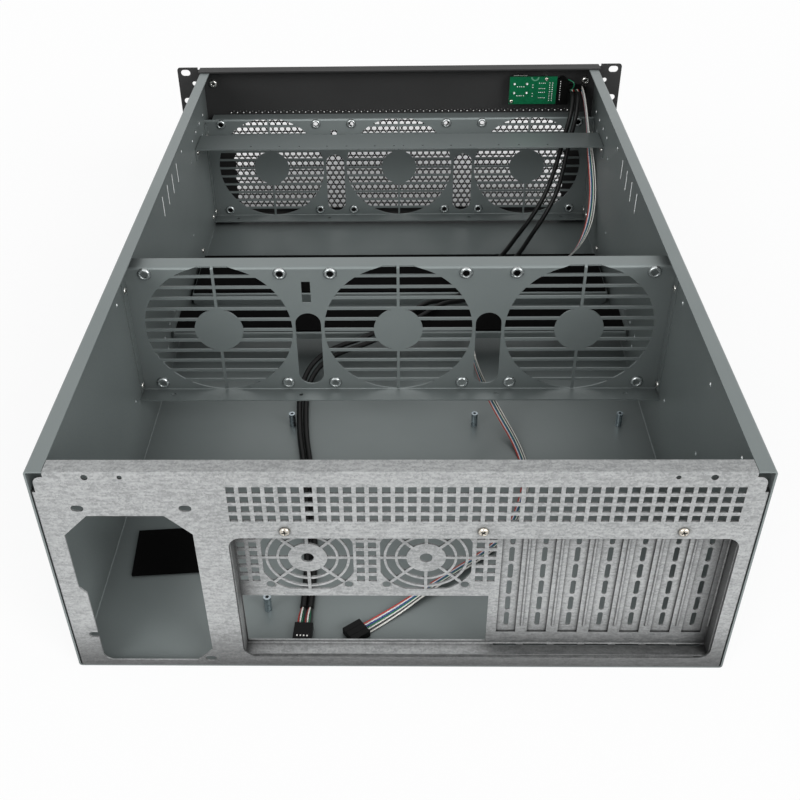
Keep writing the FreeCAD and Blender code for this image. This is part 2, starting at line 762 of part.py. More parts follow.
def rear_io_pan():
    """Recessed pan that carries the I/O opening, two 60 mm grilles and seven expansion slots."""
    back = (PAN_FRONT, f"{REAR} - dim.steel")
    tub = box("pan_tub", (f"{PAN_LEFT} - dim.steel", f"{PAN_RIGHT} + dim.steel"), back,
              (f"{PAN_LOW} - dim.steel", f"{PAN_HIGH} + dim.steel"))
    tub = rounded("pan_tub_bend", tub, [("x", {"y": PAN_FRONT, "z": f"{PAN_LOW} - dim.steel"},
                                         "dim.pan_bend + dim.steel")])
    face = (f"{REAR} - 2 * dim.steel", f"{REAR} - dim.steel")
    left = f"({PAN_LEFT} - dim.steel - dim.pan_flange)"
    right = f"({PAN_RIGHT} + dim.steel + dim.pan_flange)"
    frame = box("pan_frame", (left, right), face,
                (f"{PAN_LOW} - dim.steel", f"{PAN_HIGH} + dim.pan_top_flange"))
    hollow = box("pan_hollow", (PAN_LEFT, PAN_RIGHT), (PAN_BACK, f"{REAR} + {OVER}"), (PAN_LOW, PAN_HIGH))
    hollow = rounded("pan_hollow_bend", hollow, [("x", {"y": PAN_BACK, "z": PAN_LOW}, "dim.pan_bend")])
    sheet = cut("pan_sheet", fuse("pan_block", [tub, frame]), [hollow])
    through = (f"{PAN_FRONT} - {OVER}", f"{PAN_BACK} + {OVER}")
    io_left = "(dim.window_right - 1 - dim.io_margin)"
    past_bend = (f"{PAN_FRONT} - {OVER}", f"{PAN_BACK} + dim.pan_bend + {OVER}")
    tools = [box("io_opening", (f"{io_left} - dim.io_wide", io_left), past_bend,
                 ("dim.io_low", "dim.io_low + dim.io_high"))]
    for index in range(2):
        tools.extend(grille_tools(index, through))
    for index in range(7):
        tools.append(box(f"slot_opening_{index}", (f"{slot_x(index)} - dim.slot_wide / 2",
                                                   f"{slot_x(index)} + dim.slot_wide / 2"), through,
                         ("dim.slot_low", "dim.slot_high")))
    for column, first in enumerate(PAN_VENT_COLUMNS):
        for row in range(6):
            z = f"(dim.pan_vent_low + {row} * dim.pan_vent_pitch)"
            tools.append(box(f"pan_vent_{column}_{row}", (f"{first}", f"{first} + dim.vent_square"), through,
                             (z, f"{z} + dim.vent_square")))
    for index in (-1, 0, 1):
        x = f"(-dim.pan_screw_middle + {index} * dim.pan_screw_pitch)"
        tools.append(rod(f"pan_thread_{index + 1}", "y", "dim.rear_screw + 0.1", (x, "dim.pan_screw_height"),
                         (f"{REAR} - 2 * dim.steel - {OVER}", f"{REAR} - dim.steel + {OVER}")))
    for index in range(7):
        tools.append(box(f"tongue_slot_{index}", (f"{slot_x(index)} - dim.tongue_slot_wide / 2",
                                                  f"{slot_x(index)} + dim.tongue_slot_wide / 2"),
                         (f"{PAN_BACK} + dim.tongue_slot_gap",
                          f"{PAN_BACK} + dim.tongue_slot_gap + dim.tongue_slot"),
                         (f"{PAN_LOW} - dim.steel - {OVER}", f"{PAN_LOW} + {OVER}")))
        tools.append(rod(f"cover_thread_{index}", "z", "dim.rear_screw + 0.1",
                         (f"{slot_x(index)} - dim.cover_screw_aside", COVER_SCREW_Y),
                         (f"{PAN_HIGH} - {OVER}", f"{PAN_HIGH} + dim.steel + {OVER}")))
    plain = cut("pan_cut", sheet, tools)
    extras = []
    for index in range(7):
        extras.append(rod(f"pan_bead_{index}", "z", "dim.bead_radius",
                          (f"{slot_x(index)} - dim.slot_pitch / 2", PAN_BACK), ("30", "dim.slot_high")))
    part("rear_io_pan", fuse("rear_io_pan", [plain] + extras))


COVER_SCREW_Y = f"({PAN_BACK} + dim.cover_screw_depth)"


def slot_covers():
    """Vented blanking covers whose top tabs are screwed down on the pan's roof."""
    seat = f"({PAN_HIGH} + dim.steel)"
    for index in range(7):
        x = slot_x(index)
        name = f"slot_cover_{index + 1}"
        plate = (f"{PAN_FRONT} - dim.cover_steel", PAN_FRONT)
        across = (f"{x} - dim.cover_wide / 2", f"{x} + dim.cover_wide / 2")
        blade = box(f"{name}_blade", across, plate, ("dim.cover_low", f"{seat} + dim.cover_steel"))
        tongue = box(f"{name}_tongue",
                     (f"{x} - dim.cover_tongue_wide / 2", f"{x} + dim.cover_tongue_wide / 2"), plate,
                     ("dim.cover_low - dim.cover_tongue", "dim.cover_low"))
        tab = box(f"{name}_tab", across, (PAN_FRONT, f"{REAR} - 2 * dim.steel - dim.seam"),
                  (seat, f"{seat} + dim.cover_steel"))
        sheet = rounded(f"{name}_bend", fuse(f"{name}_sheet", [blade, tongue, tab]), [
            ("x", {"y": f"{PAN_FRONT} - dim.cover_steel", "z": f"{seat} + dim.cover_steel"},
             "dim.cover_steel * 0.9"),
        ])
        through = (f"{PAN_FRONT} - dim.cover_steel - {OVER}", f"{PAN_FRONT} + {OVER}")
        tools = []
        for row in range(6):
            z = f"(dim.cover_vent_first + {row} * dim.cover_vent_pitch)"
            tools.append(obround(f"{name}_vent_{row}", "dim.cover_vent_wide", "dim.cover_vent_high",
                                 (x, z), through))
        tools.append(rod(f"{name}_hole", "z", "dim.rear_screw + 0.3",
                         (f"{x} - dim.cover_screw_aside", COVER_SCREW_Y),
                         (f"{seat} - {OVER}", f"{seat} + dim.cover_steel + {OVER}")))
        part(name, cut(name, sheet, tools))


def screw(name, axis, centre, seat, length, head, shank, rise, toward):
    """Pan head screw: a domed head on its seat and a plain shank below; toward is + or - along the axis."""
    away = "-" if toward == "+" else "+"
    tip = f"({seat} {away} {length})"
    crown = f"({seat} {toward} {rise})"
    ordered = (tip, seat) if toward == "+" else (seat, tip)
    shank_rod = rod(f"{name}_shank", axis, shank, centre, ordered)
    edge = f"({seat} {toward} {rise} * 0.45)"
    rim_span = (seat, edge) if toward == "+" else (edge, seat)
    dome_span = (edge, crown) if toward == "+" else (crown, edge)
    dome_radii = (head, f"{head} * 0.55") if toward == "+" else (f"{head} * 0.55", head)
    rim = rod(f"{name}_rim", axis, head, centre, rim_span)
    dome = cone(f"{name}_dome", axis, dome_radii, centre, dome_span)
    return fuse(name, [shank_rod, rim, dome])


def rear_screws():
    """Screws of the rear pan and of the slot covers."""
    heads = []
    for index in (-1, 0, 1):
        x = f"(-dim.pan_screw_middle + {index} * dim.pan_screw_pitch)"
        heads.append(screw(f"pan_screw_{index + 1}", "y", (x, "dim.pan_screw_height"), REAR,
                           "dim.rear_screw_length", "dim.rear_screw_head", "dim.rear_screw",
                           "dim.rear_screw_dome", "+"))
    part("rear_pan_screws", group("rear_pan_screws", heads))
    heads = []
    seat = f"({PAN_HIGH} + dim.steel + dim.cover_steel)"
    for index in range(7):
        at = (f"{slot_x(index)} - dim.cover_screw_aside", COVER_SCREW_Y)
        heads.append(screw(f"cover_screw_{index}", "z", at, seat, "dim.rear_screw_length",
                           "dim.cover_screw_head", "dim.rear_screw", "dim.rear_screw_dome", "+"))
    part("slot_cover_screws", group("slot_cover_screws", heads))


# ------------------------------------------------------------------ fan walls

def fan_wall(label, face, lift, relief):
    """Pressed wall for three 120 mm fans: y of its rear side, z of its foot, gap beside its top flange."""
    front = f"({face} - dim.steel)"
    top = f"({lift} + dim.fan_wall_height)"
    toe = f"({face} + dim.fan_wall_flange)"
    nose = f"({face} - dim.fan_wall_flange)"
    section = prism(f"{label}_section", "yz", [
        (toe, lift), (toe, f"{lift} + dim.steel"), (face, f"{lift} + dim.steel"), (face, top),
        (nose, top), (nose, f"{top} - dim.steel"), (front, f"{top} - dim.steel"), (front, lift),
    ], (minus(INSIDE), INSIDE))
    section = rounded(f"{label}_bends", section, [
        ("x", {"y": front, "z": lift}, BENT), ("x", {"y": face, "z": top}, BENT),
        ("x", {"y": face, "z": f"{lift} + dim.steel"}, "dim.bend"),
        ("x", {"y": front, "z": f"{top} - dim.steel"}, "dim.bend"),
    ])
    cheeks = []
    for side, low, high in CHEEKS:
        cheeks.append(box(f"{label}_cheek_{side}", (low, high), (front, f"{face} + dim.fan_wall_side"),
                          (f"{lift} + dim.steel * 3", f"{top} - dim.steel * 3")))
    through = (f"{front} - {OVER}", f"{face} + {OVER}")
    tools = []
    reliefs = {"a": (f"({INSIDE} - {relief})", HALF), "b": (minus(HALF), f"(-{INSIDE} + {relief})")}
    for side, span in reliefs.items():
        tools.append(box(f"{label}_relief_{side}", span, (f"{nose} - {OVER}", front),
                         (f"{top} - dim.steel * 3", f"{top} + {OVER}")))
    middle = f"({lift} + dim.fan_centre)"
    crest = f"({face} + dim.fan_boss_rise)"
    bosses = []
    beyond = (f"({through[0]}) - 1", f"({through[1]}) + 1")
    for fan in (-1, 0, 1):
        x = f"({fan} * dim.fan_pitch)"
        name = f"{label}_fan_{fan + 1}"
        disc = rod(f"{name}_disc", "y", "dim.fan_round", (x, middle), through)
        keep = [rod(f"{name}_hub", "y", "dim.fan_hub", (x, middle), beyond)]
        keep.append(box(f"{name}_spoke", (f"{x} - dim.fan_spoke / 2", f"{x} + dim.fan_spoke / 2"), beyond,
                        (f"{middle} - dim.fan_round - 1", f"{middle} + dim.fan_round + 1")))
        for bar in range(-5, 6):
            z = f"({middle} + {bar} * dim.fan_bar_pitch)"
            keep.append(box(f"{name}_bar_{bar + 5}", (f"{x} - dim.fan_round - 1", f"{x} + dim.fan_round + 1"),
                            beyond, (f"{z} - dim.fan_bar / 2", f"{z} + dim.fan_bar / 2")))
        tools.append(cut(f"{name}_gaps", disc, [fuse(f"{name}_webs", keep)]))
        half = "dim.fan_screw_pitch / 2"
        for right in (-1, 1):
            for up in (-1, 1):
                at = (f"{x} + {right} * {half}", f"{middle} + {up} * {half}")
                spot = f"{name}_screw_{right + 1}_{up + 1}"
                bosses.append(cone(f"{spot}_boss", "y", ("dim.fan_boss", "dim.fan_boss_top"), at,
                                   (face, crest)))
                inner = ("dim.fan_boss - dim.fan_boss_skin", "dim.fan_boss_top - dim.fan_boss_skin")
                tools.append(fuse(spot, [
                    rod(f"{spot}_bore", "y", "dim.fan_screw_bore", at,
                        (f"{front} - {OVER}", f"{crest} + {OVER}")),
                    cone(f"{spot}_hollow", "y", inner, at, (front, f"{crest} - dim.steel")),
                ]))
    for side in (-1, 1):
        x = f"({side} * dim.fan_pitch / 2)"
        high = "(dim.pass_high - dim.pass_low)"
        tools.append(obround(f"{label}_pass_{side + 1}", "dim.pass_wide", high,
                             (x, f"({lift} + (dim.pass_high + dim.pass_low) / 2)"), through))
    sill = f"({lift} + dim.wire_window_low)"
    tools.append(box(f"{label}_wire_window", ("dim.fan_pitch / 2 - dim.wire_window_wide / 2",
                                              "dim.fan_pitch / 2 + dim.wire_window_wide / 2"), through,
                     (sill, f"{sill} + dim.wire_window_high")))
    for index, x in enumerate(("dim.foot_hole_outer", "dim.foot_hole_inner", "-dim.foot_hole_inner",
                               "-dim.foot_hole_outer")):
        tools.append(rod(f"{label}_foot_hole_{index}", "z", "dim.foot_hole",
                         (x, f"{face} + dim.fan_wall_flange / 2"),
                         (f"{lift} - {OVER}", f"{lift} + dim.steel + {OVER}")))
    tools.extend(side_holes(f"{label}_rivet_hole", "dim.rivet_shank", rivet_places(face, lift)))
    part(label, cut(label, fuse(f"{label}_sheet", [section] + cheeks + bosses), tools))


SIDE_SEATS = (("a", "-", f"({INSIDE} - dim.steel)"), ("b", "+", f"(-{INSIDE} + dim.steel)"))


def wall_rivets():
    """Blind rivets that hold the cheeks of both fan walls to the sides."""
    rivets = []
    walls = (("mid", MID_FACE, "dim.mid_wall_lift"), ("front", FRONT_FACE, "dim.front_wall_lift"))
    for label, face, lift in walls:
        for index, place_of in enumerate(rivet_places(face, lift)):
            for side, toward, seat in SIDE_SEATS:
                rivets.append(screw(f"rivet_{label}_{index}_{side}", "x", place_of, seat, "dim.steel * 1.9",
                                    "dim.rivet_head", "dim.rivet_shank", "dim.rivet_dome", toward))
    part("fan_wall_rivets", group("fan_wall_rivets", rivets))


def rack_screws():
    """Small screws low in both sides, their heads inside."""
    screws = []
    for index, place_of in enumerate(RACK_SCREW_PLACES):
        for side, toward, seat in (("a", "-", INSIDE), ("b", "+", f"(-{INSIDE})")):
            screws.append(screw(f"rack_screw_{index}_{side}", "x", place_of, seat, "dim.steel * 0.9",
                                "dim.side_screw_head", "dim.side_screw", "dim.side_screw_dome", toward))
    part("side_screws", group("side_screws", screws))


# ------------------------------------------------------------------ cross bar and support rails

# distances of the cross bar's small holes from the middle
BAR_HOLES = (4.9, 25.2, 54.8, 75.3, 104.7, 125.7, 155.8)


def cross_bar():
    """Flat bar between the sides near the front, with tabs turned down at both ends."""
    far = f"({FRONT} + dim.bar_gap)"
    near = BAR_REAR
    strip = box("bar_strip", (minus(INSIDE), INSIDE), (far, near), ("dim.bar_top - dim.steel", "dim.bar_top"))
    tabs = []
    for side, low, high in CHEEKS:
        tabs.append(box(f"bar_tab_{side}", (low, high), (f"{near} - dim.bar_tab_wide", near),
                        ("dim.bar_top - dim.bar_tab_drop", "dim.bar_top")))
    bar = rounded("bar_bends", fuse("bar_sheet", [strip] + tabs), [
        ("y", {"x": side, "z": "dim.bar_top"}, "dim.steel * 0.9") for side in (INSIDE, minus(INSIDE))
    ])
    tools = side_holes("bar_screw_hole", "dim.side_screw", BAR_SCREW_PLACES)
    for index, x in enumerate(BAR_HOLES):
        for side in "-+":
            tools.append(rod(f"bar_hole_{index}_{'a' if side == '+' else 'b'}", "z", "dim.bar_hole",
                             (f"0 {side} {x}", f"{near} - dim.bar_hole_inset"),
                             (f"dim.bar_top - dim.steel - {OVER}", f"dim.bar_top + {OVER}")))
    part("cross_bar", cut("cross_bar", bar, tools))
    screws = []
    for side, toward, seat in SIDE_SEATS:
        screws.append(screw(f"bar_screw_{side}", "x", BAR_SCREW_PLACES[0], seat, "dim.steel * 1.9",
                            "dim.side_screw_head", "dim.side_screw", "dim.side_screw_dome", toward))
    part("cross_bar_screws", group("cross_bar_screws", screws))


def support_rails():
    """Two folded rails across the floor that carry foam pads."""
    half = "dim.rail_width / 2"
    near = behind("dim.front_rail_depth")
    far = f"({near} - dim.front_rail_length)"
    block = box("front_rail_block", (minus(half), half), (far, near), ("dim.steel", "dim.front_rail_top"))
    bends = [("x", {"y": edge, "z": "dim.front_rail_top"}, BENT) for edge in (far, near)]
    ends = [("y", {"x": edge, "z": "dim.steel"}, "dim.rail_corner") for edge in (half, minus(half))]
    block = rounded("front_rail_bends", rounded("front_rail_ends", block, ends), bends)
    hollow = box("front_rail_hollow", (f"{minus(half)} - {OVER}", f"{half} + {OVER}"),
                 (f"{far} + dim.steel", f"{near} - dim.steel"),
                 (f"dim.steel - {OVER}", "dim.front_rail_top - dim.steel"))
    part("support_rail_front", cut("support_rail_front", block, [hollow]))
    inset = f"({half} - dim.pad_margin)"
    part("rail_pad_front", box("rail_pad_front", (minus(inset), inset),
                               (f"{far} + dim.pad_margin", f"{near} - dim.pad_margin"),
                               ("dim.front_rail_top", "dim.front_rail_top + dim.pad_thick")))

    near = behind("dim.rear_rail_depth")
    far = f"({near} - dim.rear_rail_length)"
    top = "dim.rear_rail_top"
    section = box("rear_rail_block", (minus(half), half), (far, near), (f"{top} - dim.rear_rail_skirt", top))
    section = rounded("rear_rail_bends", section, [
        ("x", {"y": edge, "z": top}, BENT) for edge in (far, near)
    ])
    hollow = box("rear_rail_hollow", (f"{minus(half)} - {OVER}", f"{half} + {OVER}"),
                 (f"{far} + dim.steel", f"{near} - dim.steel"),
                 (f"{top} - dim.rear_rail_skirt - {OVER}", f"{top} - dim.steel"))
    channel = cut("rear_rail_channel", section, [hollow])
    ends = []
    for side, low, high in CHEEKS:
        inner = (f"{half} - 2", INSIDE) if side == "a" else (minus(INSIDE), f"-({half}) + 2")
        along = (f"{far} + dim.rear_rail_end", f"{near} - dim.rear_rail_end")
        ends.append(box(f"rear_rail_end_{side}", inner, along, (f"{top} - dim.steel", top)))
        ends.append(box(f"rear_rail_tab_{side}", (low, high), along, (f"{top} - dim.rear_rail_tab", top)))
    holes = side_holes("rail_screw_hole", "dim.side_screw", RAIL_SCREW_PLACES)
    part("support_rail_rear", cut("support_rail_rear", fuse("rear_rail_sheet", [channel] + ends), holes))
    part("rail_pad_rear", box("rail_pad_rear", (minus(inset), inset),
                              (f"{far} + dim.pad_margin", f"{near} - dim.pad_margin"),
                              (top, f"{top} + dim.pad_thick")))
    screws = []
    for row, place_of in enumerate(RAIL_SCREW_PLACES):
        for side, toward, seat in SIDE_SEATS:
            screws.append(screw(f"rear_rail_screw_{row}_{side}", "x", place_of, seat, "dim.steel * 1.9",
                                "dim.side_screw_head", "dim.side_screw", "dim.side_screw_dome", toward))
    part("support_rail_screws", group("support_rail_screws", screws))


def supply_pad():
    """Foam pad stuck on the floor of the power supply bay, a little turned."""
    pad = DOC.addObject("Part::Box", "supply_bay_pad")
    pad.setExpression("Length", "dim.supply_pad_width")
    pad.setExpression("Width", "dim.supply_pad_length")
    pad.setExpression("Height", "dim.pad_thick")
    place(pad, Rotation(Vector(0, 0, 1), 180 + SIZES["supply_pad_turn"]), x=f"{HALF} - dim.supply_pad_inset",
          y=behind("dim.supply_pad_depth"), z="dim.steel")
    part("supply_bay_pad", pad)


def standoffs():
    """Threaded standoffs for the motherboard, pressed into the floor."""
    posts = []
    rows = ("dim.standoff_row_rear", "dim.standoff_row_mid", "dim.standoff_row_front")
    for row, depth in enumerate(rows):
        for column, shift in enumerate(("0", "dim.standoff_column_mid", "dim.standoff_column_right")):
            beside_ports = row == 0 and column == 0
            reach = "dim.standoff_row_ports" if beside_ports else depth
            at = (f"dim.standoff_left - {shift}", behind(f"dim.board_edge_depth + {reach}"))
            name = f"standoff_{row}_{column}"
            top = "dim.steel + dim.standoff_height"
            post = rod(f"{name}_post", "z", "dim.standoff_radius", at, ("dim.steel", top))
            bore = rod(f"{name}_bore", "z", "dim.standoff_bore", at, ("dim.steel + 3", f"{top} + {OVER}"))
            posts.append(cut(name, post, [bore]))
    part("motherboard_standoffs", group("motherboard_standoffs", posts))


# ------------------------------------------------------------------ front panel

PANEL_TOP = f"({TOP} + dim.panel_steel)"
PANEL_FACE = f"({FRONT} - dim.panel_steel)"
RACK_HEIGHTS = ("dim.rack_first", "dim.rack_second", f"({PANEL_TOP} - dim.rack_second)",
                f"({PANEL_TOP} - dim.rack_first)")


def front_panel():
    """Black front panel with rack ears, returns at top and bottom, mesh and control openings."""
    half = "dim.panel_width / 2"
    plate = box("panel_plate", (minus(half), half), (PANEL_FACE, FRONT), ("0", PANEL_TOP))
    plate = rounded("panel_corners", plate, [
        ("y", {"x": side, "z": level}, "dim.panel_corner")
        for side in (half, minus(half)) for level in ("0", PANEL_TOP)
    ])
    wide = "dim.panel_return_width / 2"
    crown = box("panel_return_top", (minus(wide), wide), (PANEL_FACE, f"{FRONT} + dim.panel_return"),
                (TOP, PANEL_TOP))
    crown = rounded("panel_return_bend", crown, [
        ("x", {"y": PANEL_FACE, "z": PANEL_TOP}, "dim.panel_steel * 0.9"),
    ])
    foot = f"({INSIDE} - 2)"
    sill = box("panel_return_low", (minus(foot), foot), (PANEL_FACE, f"{FRONT} + dim.panel_return"),
               ("dim.steel", "dim.steel + dim.panel_steel"))
    through = (f"{PANEL_FACE} - {OVER}", f"{FRONT} + {OVER}")
    edge_cut = box("panel_edge_cut", (minus(wide), wide), through, (TOP, f"{PANEL_TOP} + {OVER}"))
    plate = cut("panel_trimmed", plate, [edge_cut])
    tools = []
    for side, letter in (("+", "a"), ("-", "b")):
        x = f"(0 {side} ({wide} + dim.panel_relief / 2))"
        tools.append(box(f"panel_relief_{letter}",
                         (f"{x} - dim.panel_relief / 2", f"{x} + dim.panel_relief / 2"), through,
                         (f"{TOP} - 1", f"{PANEL_TOP} + {OVER}")))
        for index, height in enumerate(RACK_HEIGHTS):
            at = f"(0 {side} dim.rack_width / 2)"
            bar = "(dim.rack_slot_wide - dim.rack_slot_high) / 2"
            radius = "dim.rack_slot_high / 2"
            name = f"rack_slot_{letter}_{index}"
            tools.append(fuse(name, [
                box(f"{name}_bar", (f"{at} - {bar}", f"{at} + {bar}"), through,
                    (f"{height} - {radius}", f"{height} + {radius}")),
                rod(f"{name}_left", "y", radius, (f"{at} - {bar}", height), through),
                rod(f"{name}_right", "y", radius, (f"{at} + {bar}", height), through),
            ]))
        for level in ("low", "high"):
            tools.append(rod(f"ear_hole_{letter}_{level}", "y", "dim.ear_hole",
                             (f"0 {side} dim.ear_hole_offset", f"dim.handle_{level}"), through))
            tools.append(rod(f"handle_hole_{letter}_{level}", "y", "dim.handle_screw + 0.2",
                             (f"0 {side} dim.handle_offset", f"dim.handle_{level}"), through))
    tools.extend(mesh_holes(through))
    tools.extend(control_openings(through))
    part("front_panel", cut("front_panel", fuse("panel_sheet", [plate, crown, sill]), tools))


def mesh_holes(y_span):
    """Hexagonal openings in staggered rows over the middle of the panel."""
    tools = []
    for row in range(int(SIZES["mesh_rows"])):
        shift = "0.25" if row % 2 else "-0.25"
        for column in range(int(SIZES["mesh_columns"])):
            offset = column - (int(SIZES["mesh_columns"]) - 1) / 2
            solid = DOC.addObject("Part::Prism", f"mesh_{row}_{column}")
            solid.Polygon = 6
            place(solid, TURNS["y"], x=f"({offset} + {shift}) * dim.mesh_pitch_x", y=y_span[0],
                  z=f"dim.mesh_low + {row} * dim.mesh_pitch_z")
            solid.setExpression("Circumradius", "dim.mesh_hole")
            solid.setExpression("Height", f"({y_span[1]}) - ({y_span[0]})")
            tools.append(solid)
    return tools


USB_RIGHT = "(-dim.usb_board_left)"
USB_LEFT = "(-dim.usb_board_left - dim.usb_board_wide)"
BOARD_FRONT = f"({FRONT} + dim.board_gap)"
BOARD_BACK = f"({BOARD_FRONT} + dim.board_thick)"
USB_X = f"({USB_RIGHT} - dim.usb_inset)"
SWITCH_RIGHT = f"({USB_LEFT} - dim.switch_board_gap)"
SWITCH_X = f"({SWITCH_RIGHT} - dim.switch_board_wide / 2)"
SWITCH_LOW = "(dim.usb_board_low - dim.switch_board_drop)"
CONTROL_TOP = f"({SWITCH_LOW} + dim.usb_board_high - 5)"


def control_level(index):
    """Return the z of a control, counted down from the power button."""
    return f"({CONTROL_TOP} - {index} * dim.switch_pitch)"


def usb_level(index):
    """Return the z of a USB socket, counted up from the lower one."""
    return f"(dim.usb_board_low + dim.usb_low + {index} * dim.usb_pitch)"


def control_openings(y_span):
    """Openings for the USB sockets, the two buttons and the two lamps."""
    tools = []
    for index in range(2):
        wide = "(dim.usb_mouth_wide / 2 + dim.seam)"
        high = "(dim.usb_mouth_high / 2 + dim.seam)"
        tools.append(box(f"usb_cut_{index}", (f"{USB_X} - {wide}", f"{USB_X} + {wide}"), y_span,
                         (f"{usb_level(index)} - {high}", f"{usb_level(index)} + {high}")))
    radii = ("dim.button_radius + dim.button_fit", "dim.lamp_radius + dim.seam", "dim.lamp_radius + dim.seam",
             "dim.reset_radius + dim.button_fit")
    for index, radius in enumerate(radii):
        tools.append(rod(f"control_cut_{index}", "y", radius, (SWITCH_X, control_level(index)), y_span))
    return tools


def boards():
    """The USB board and the switch board, with their sockets, spacers, screws, buttons and lamps."""
    board = box("usb_board_plate", (USB_LEFT, USB_RIGHT), (BOARD_FRONT, BOARD_BACK),
                ("dim.usb_board_low", "dim.usb_board_low + dim.usb_board_high"))
    screw_places = ((f"{USB_LEFT} + dim.board_screw_a_in",
                     "dim.usb_board_low + dim.usb_board_high - dim.board_screw_a_down"),
                    (f"{USB_RIGHT} - dim.board_screw_b_in", "dim.usb_board_low + dim.board_screw_b_up"))
    through = (f"{BOARD_FRONT} - {OVER}", f"{BOARD_BACK} + {OVER}")
    holes = [rod(f"usb_board_hole_{index}", "y", "dim.board_screw + 0.2", at, through)
             for index, at in enumerate(screw_places)]
    part("usb_board", cut("usb_board", board, holes))
    spacers = []
    screws = []
    for index, at in enumerate(screw_places):
        sleeve = rod(f"board_spacer_{index}_sleeve", "y", "dim.board_spacer", at, (FRONT, BOARD_FRONT))
        bore = rod(f"board_spacer_{index}_bore", "y", "dim.board_screw + 0.1", at,
                   (f"{FRONT} + 1", f"{BOARD_FRONT} + {OVER}"))
        spacers.append(cut(f"board_spacer_{index}", sleeve, [bore]))
        screws.append(screw(f"board_screw_{index}", "y", at, BOARD_BACK, "6", "dim.board_screw_head",
                            "dim.board_screw", "1.6", "+"))
    part("board_spacers", group("board_spacers", spacers))
    part("board_screws", group("board_screws", screws))
    shells = []
    for index in range(2):
        z = usb_level(index)
        name = f"usb_socket_{index}"
        wide = "dim.usb_mouth_wide / 2"
        high = "dim.usb_mouth_high / 2"
        outer = box(f"{name}_outer", (f"{USB_X} - {wide}", f"{USB_X} + {wide}"),
                    (f"{PANEL_FACE} + 0.4", BOARD_FRONT), (f"{z} - {high}", f"{z} + {high}"))
        mouth = box(f"{name}_mouth",
                    (f"{USB_X} - {wide} + dim.usb_shell", f"{USB_X} + {wide} - dim.usb_shell"),
                    (f"{PANEL_FACE} - {OVER}", f"{BOARD_FRONT} - 1"),
                    (f"{z} - {high} + dim.usb_shell", f"{z} + {high} - dim.usb_shell"))
        tongue = box(f"{name}_tongue", (f"{USB_X} - 5", f"{USB_X} + 5"),
                     (f"{PANEL_FACE} + 1.2", f"{BOARD_FRONT} - 0.5"), (f"{z} - 0.2", f"{z} + 1.4"))
        shells.append(fuse(name, [cut(f"{name}_shell", outer, [mouth]), tongue]))
    part("usb_sockets", group("usb_sockets", shells))

    plate = box("switch_board_plate", (f"{SWITCH_RIGHT} - dim.switch_board_wide", SWITCH_RIGHT),
                (BOARD_FRONT, BOARD_BACK), (SWITCH_LOW, f"{SWITCH_LOW} + dim.usb_board_high - 2.4"))
    plug_right = f"({SWITCH_RIGHT} - dim.switch_board_wide + 1)"
    blocks = [box("board_plug", (f"{plug_right} - dim.board_plug_wide", plug_right),
                  (f"{BOARD_FRONT} - 3.5", BOARD_BACK),
                  ("dim.board_plug_low", "dim.board_plug_low + dim.board_plug_high"))]
    for index in (0, 3):
        blocks.append(box(f"switch_body_{index}", (f"{SWITCH_X} - 3", f"{SWITCH_X} + 3"),
                          (f"{BOARD_FRONT} - 3.4", BOARD_FRONT),
                          (f"{control_level(index)} - 3", f"{control_level(index)} + 3")))
    part("switch_board", fuse("switch_board", [plate] + blocks))
    lamps = []
    for index in (1, 2):
        lamps.append(rod(f"lamp_{index}", "y", "dim.lamp_radius", (SWITCH_X, control_level(index)),
                         (f"{PANEL_FACE} - 0.5", BOARD_FRONT)))
    part("indicator_lamps", group("indicator_lamps", lamps))
    seat = f"({BOARD_FRONT} - 3.4 - dim.seam)"
    for label, index, radius, flange in (("power_button", 0, "dim.button_radius", "dim.button_flange"),
                                         ("reset_button", 3, "dim.reset_radius", "dim.reset_flange")):
        at = (SWITCH_X, control_level(index))
        rim = f"({FRONT} + dim.seam)"
        cap = rod(f"{label}_cap", "y", radius, at, (f"{PANEL_FACE} - dim.button_proud", f"{rim} + 0.5"))
        collar = rod(f"{label}_collar", "y", flange, at, (rim, f"{rim} + 1"))
        stem = rod(f"{label}_stem", "y", "1.2", at, (f"{rim} + 0.9", f"{seat} - dim.button_travel"))
        part(label, fuse(label, [cap, collar, stem]))


def handles():
    """Two upright grips screwed to the panel from behind."""
    for label, side in (("handle_left", "+"), ("handle_right", "-")):
        x = f"(0 {side} dim.handle_offset)"
        y_out = f"({PANEL_FACE} - dim.handle_reach)"
        grip = rod(f"{label}_grip", "z", "dim.handle_bar", (x, y_out),
                   ("dim.handle_low + dim.handle_turn", "dim.handle_high - dim.handle_turn"))
        pieces = [grip]
        for level, up in (("low", "+"), ("high", "-")):
            pieces.append(rod(f"{label}_{level}_leg", "y", "dim.handle_bar", (x, f"dim.handle_{level}"),
                              (f"{y_out} + dim.handle_turn", PANEL_FACE)))
            bend = DOC.addObject("Part::Torus", f"{label}_{level}_turn")
            bend.setExpression("Radius1", "dim.handle_turn")
            bend.setExpression("Radius2", "dim.handle_bar")
            bend.Angle3 = 90
            place(bend, HANDLE_TURNS[level], x=x, y=f"{y_out} + dim.handle_turn",
                  z=f"dim.handle_{level} {up} dim.handle_turn")
            pieces.append(bend)
        solid = fuse(f"{label}_bar", pieces)
        threads = [rod(f"{label}_{level}_thread", "y", "dim.handle_screw", (x, f"dim.handle_{level}"),
                       (f"{PANEL_FACE} - 9", f"{PANEL_FACE} + {OVER}")) for level in ("low", "high")]
        part(label, cut(label, solid, threads))
    screws = []
    for side in "+-":
        for level in ("low", "high"):
            screws.append(screw(f"handle_screw_{'left' if side == '+' else 'right'}_{level}", "y",
                                (f"0 {side} dim.handle_offset", f"dim.handle_{level}"), FRONT, "9",
                                "dim.handle_screw_head", "dim.handle_screw", "2.6", "+"))
    part("handle_screws", group("handle_screws", screws))


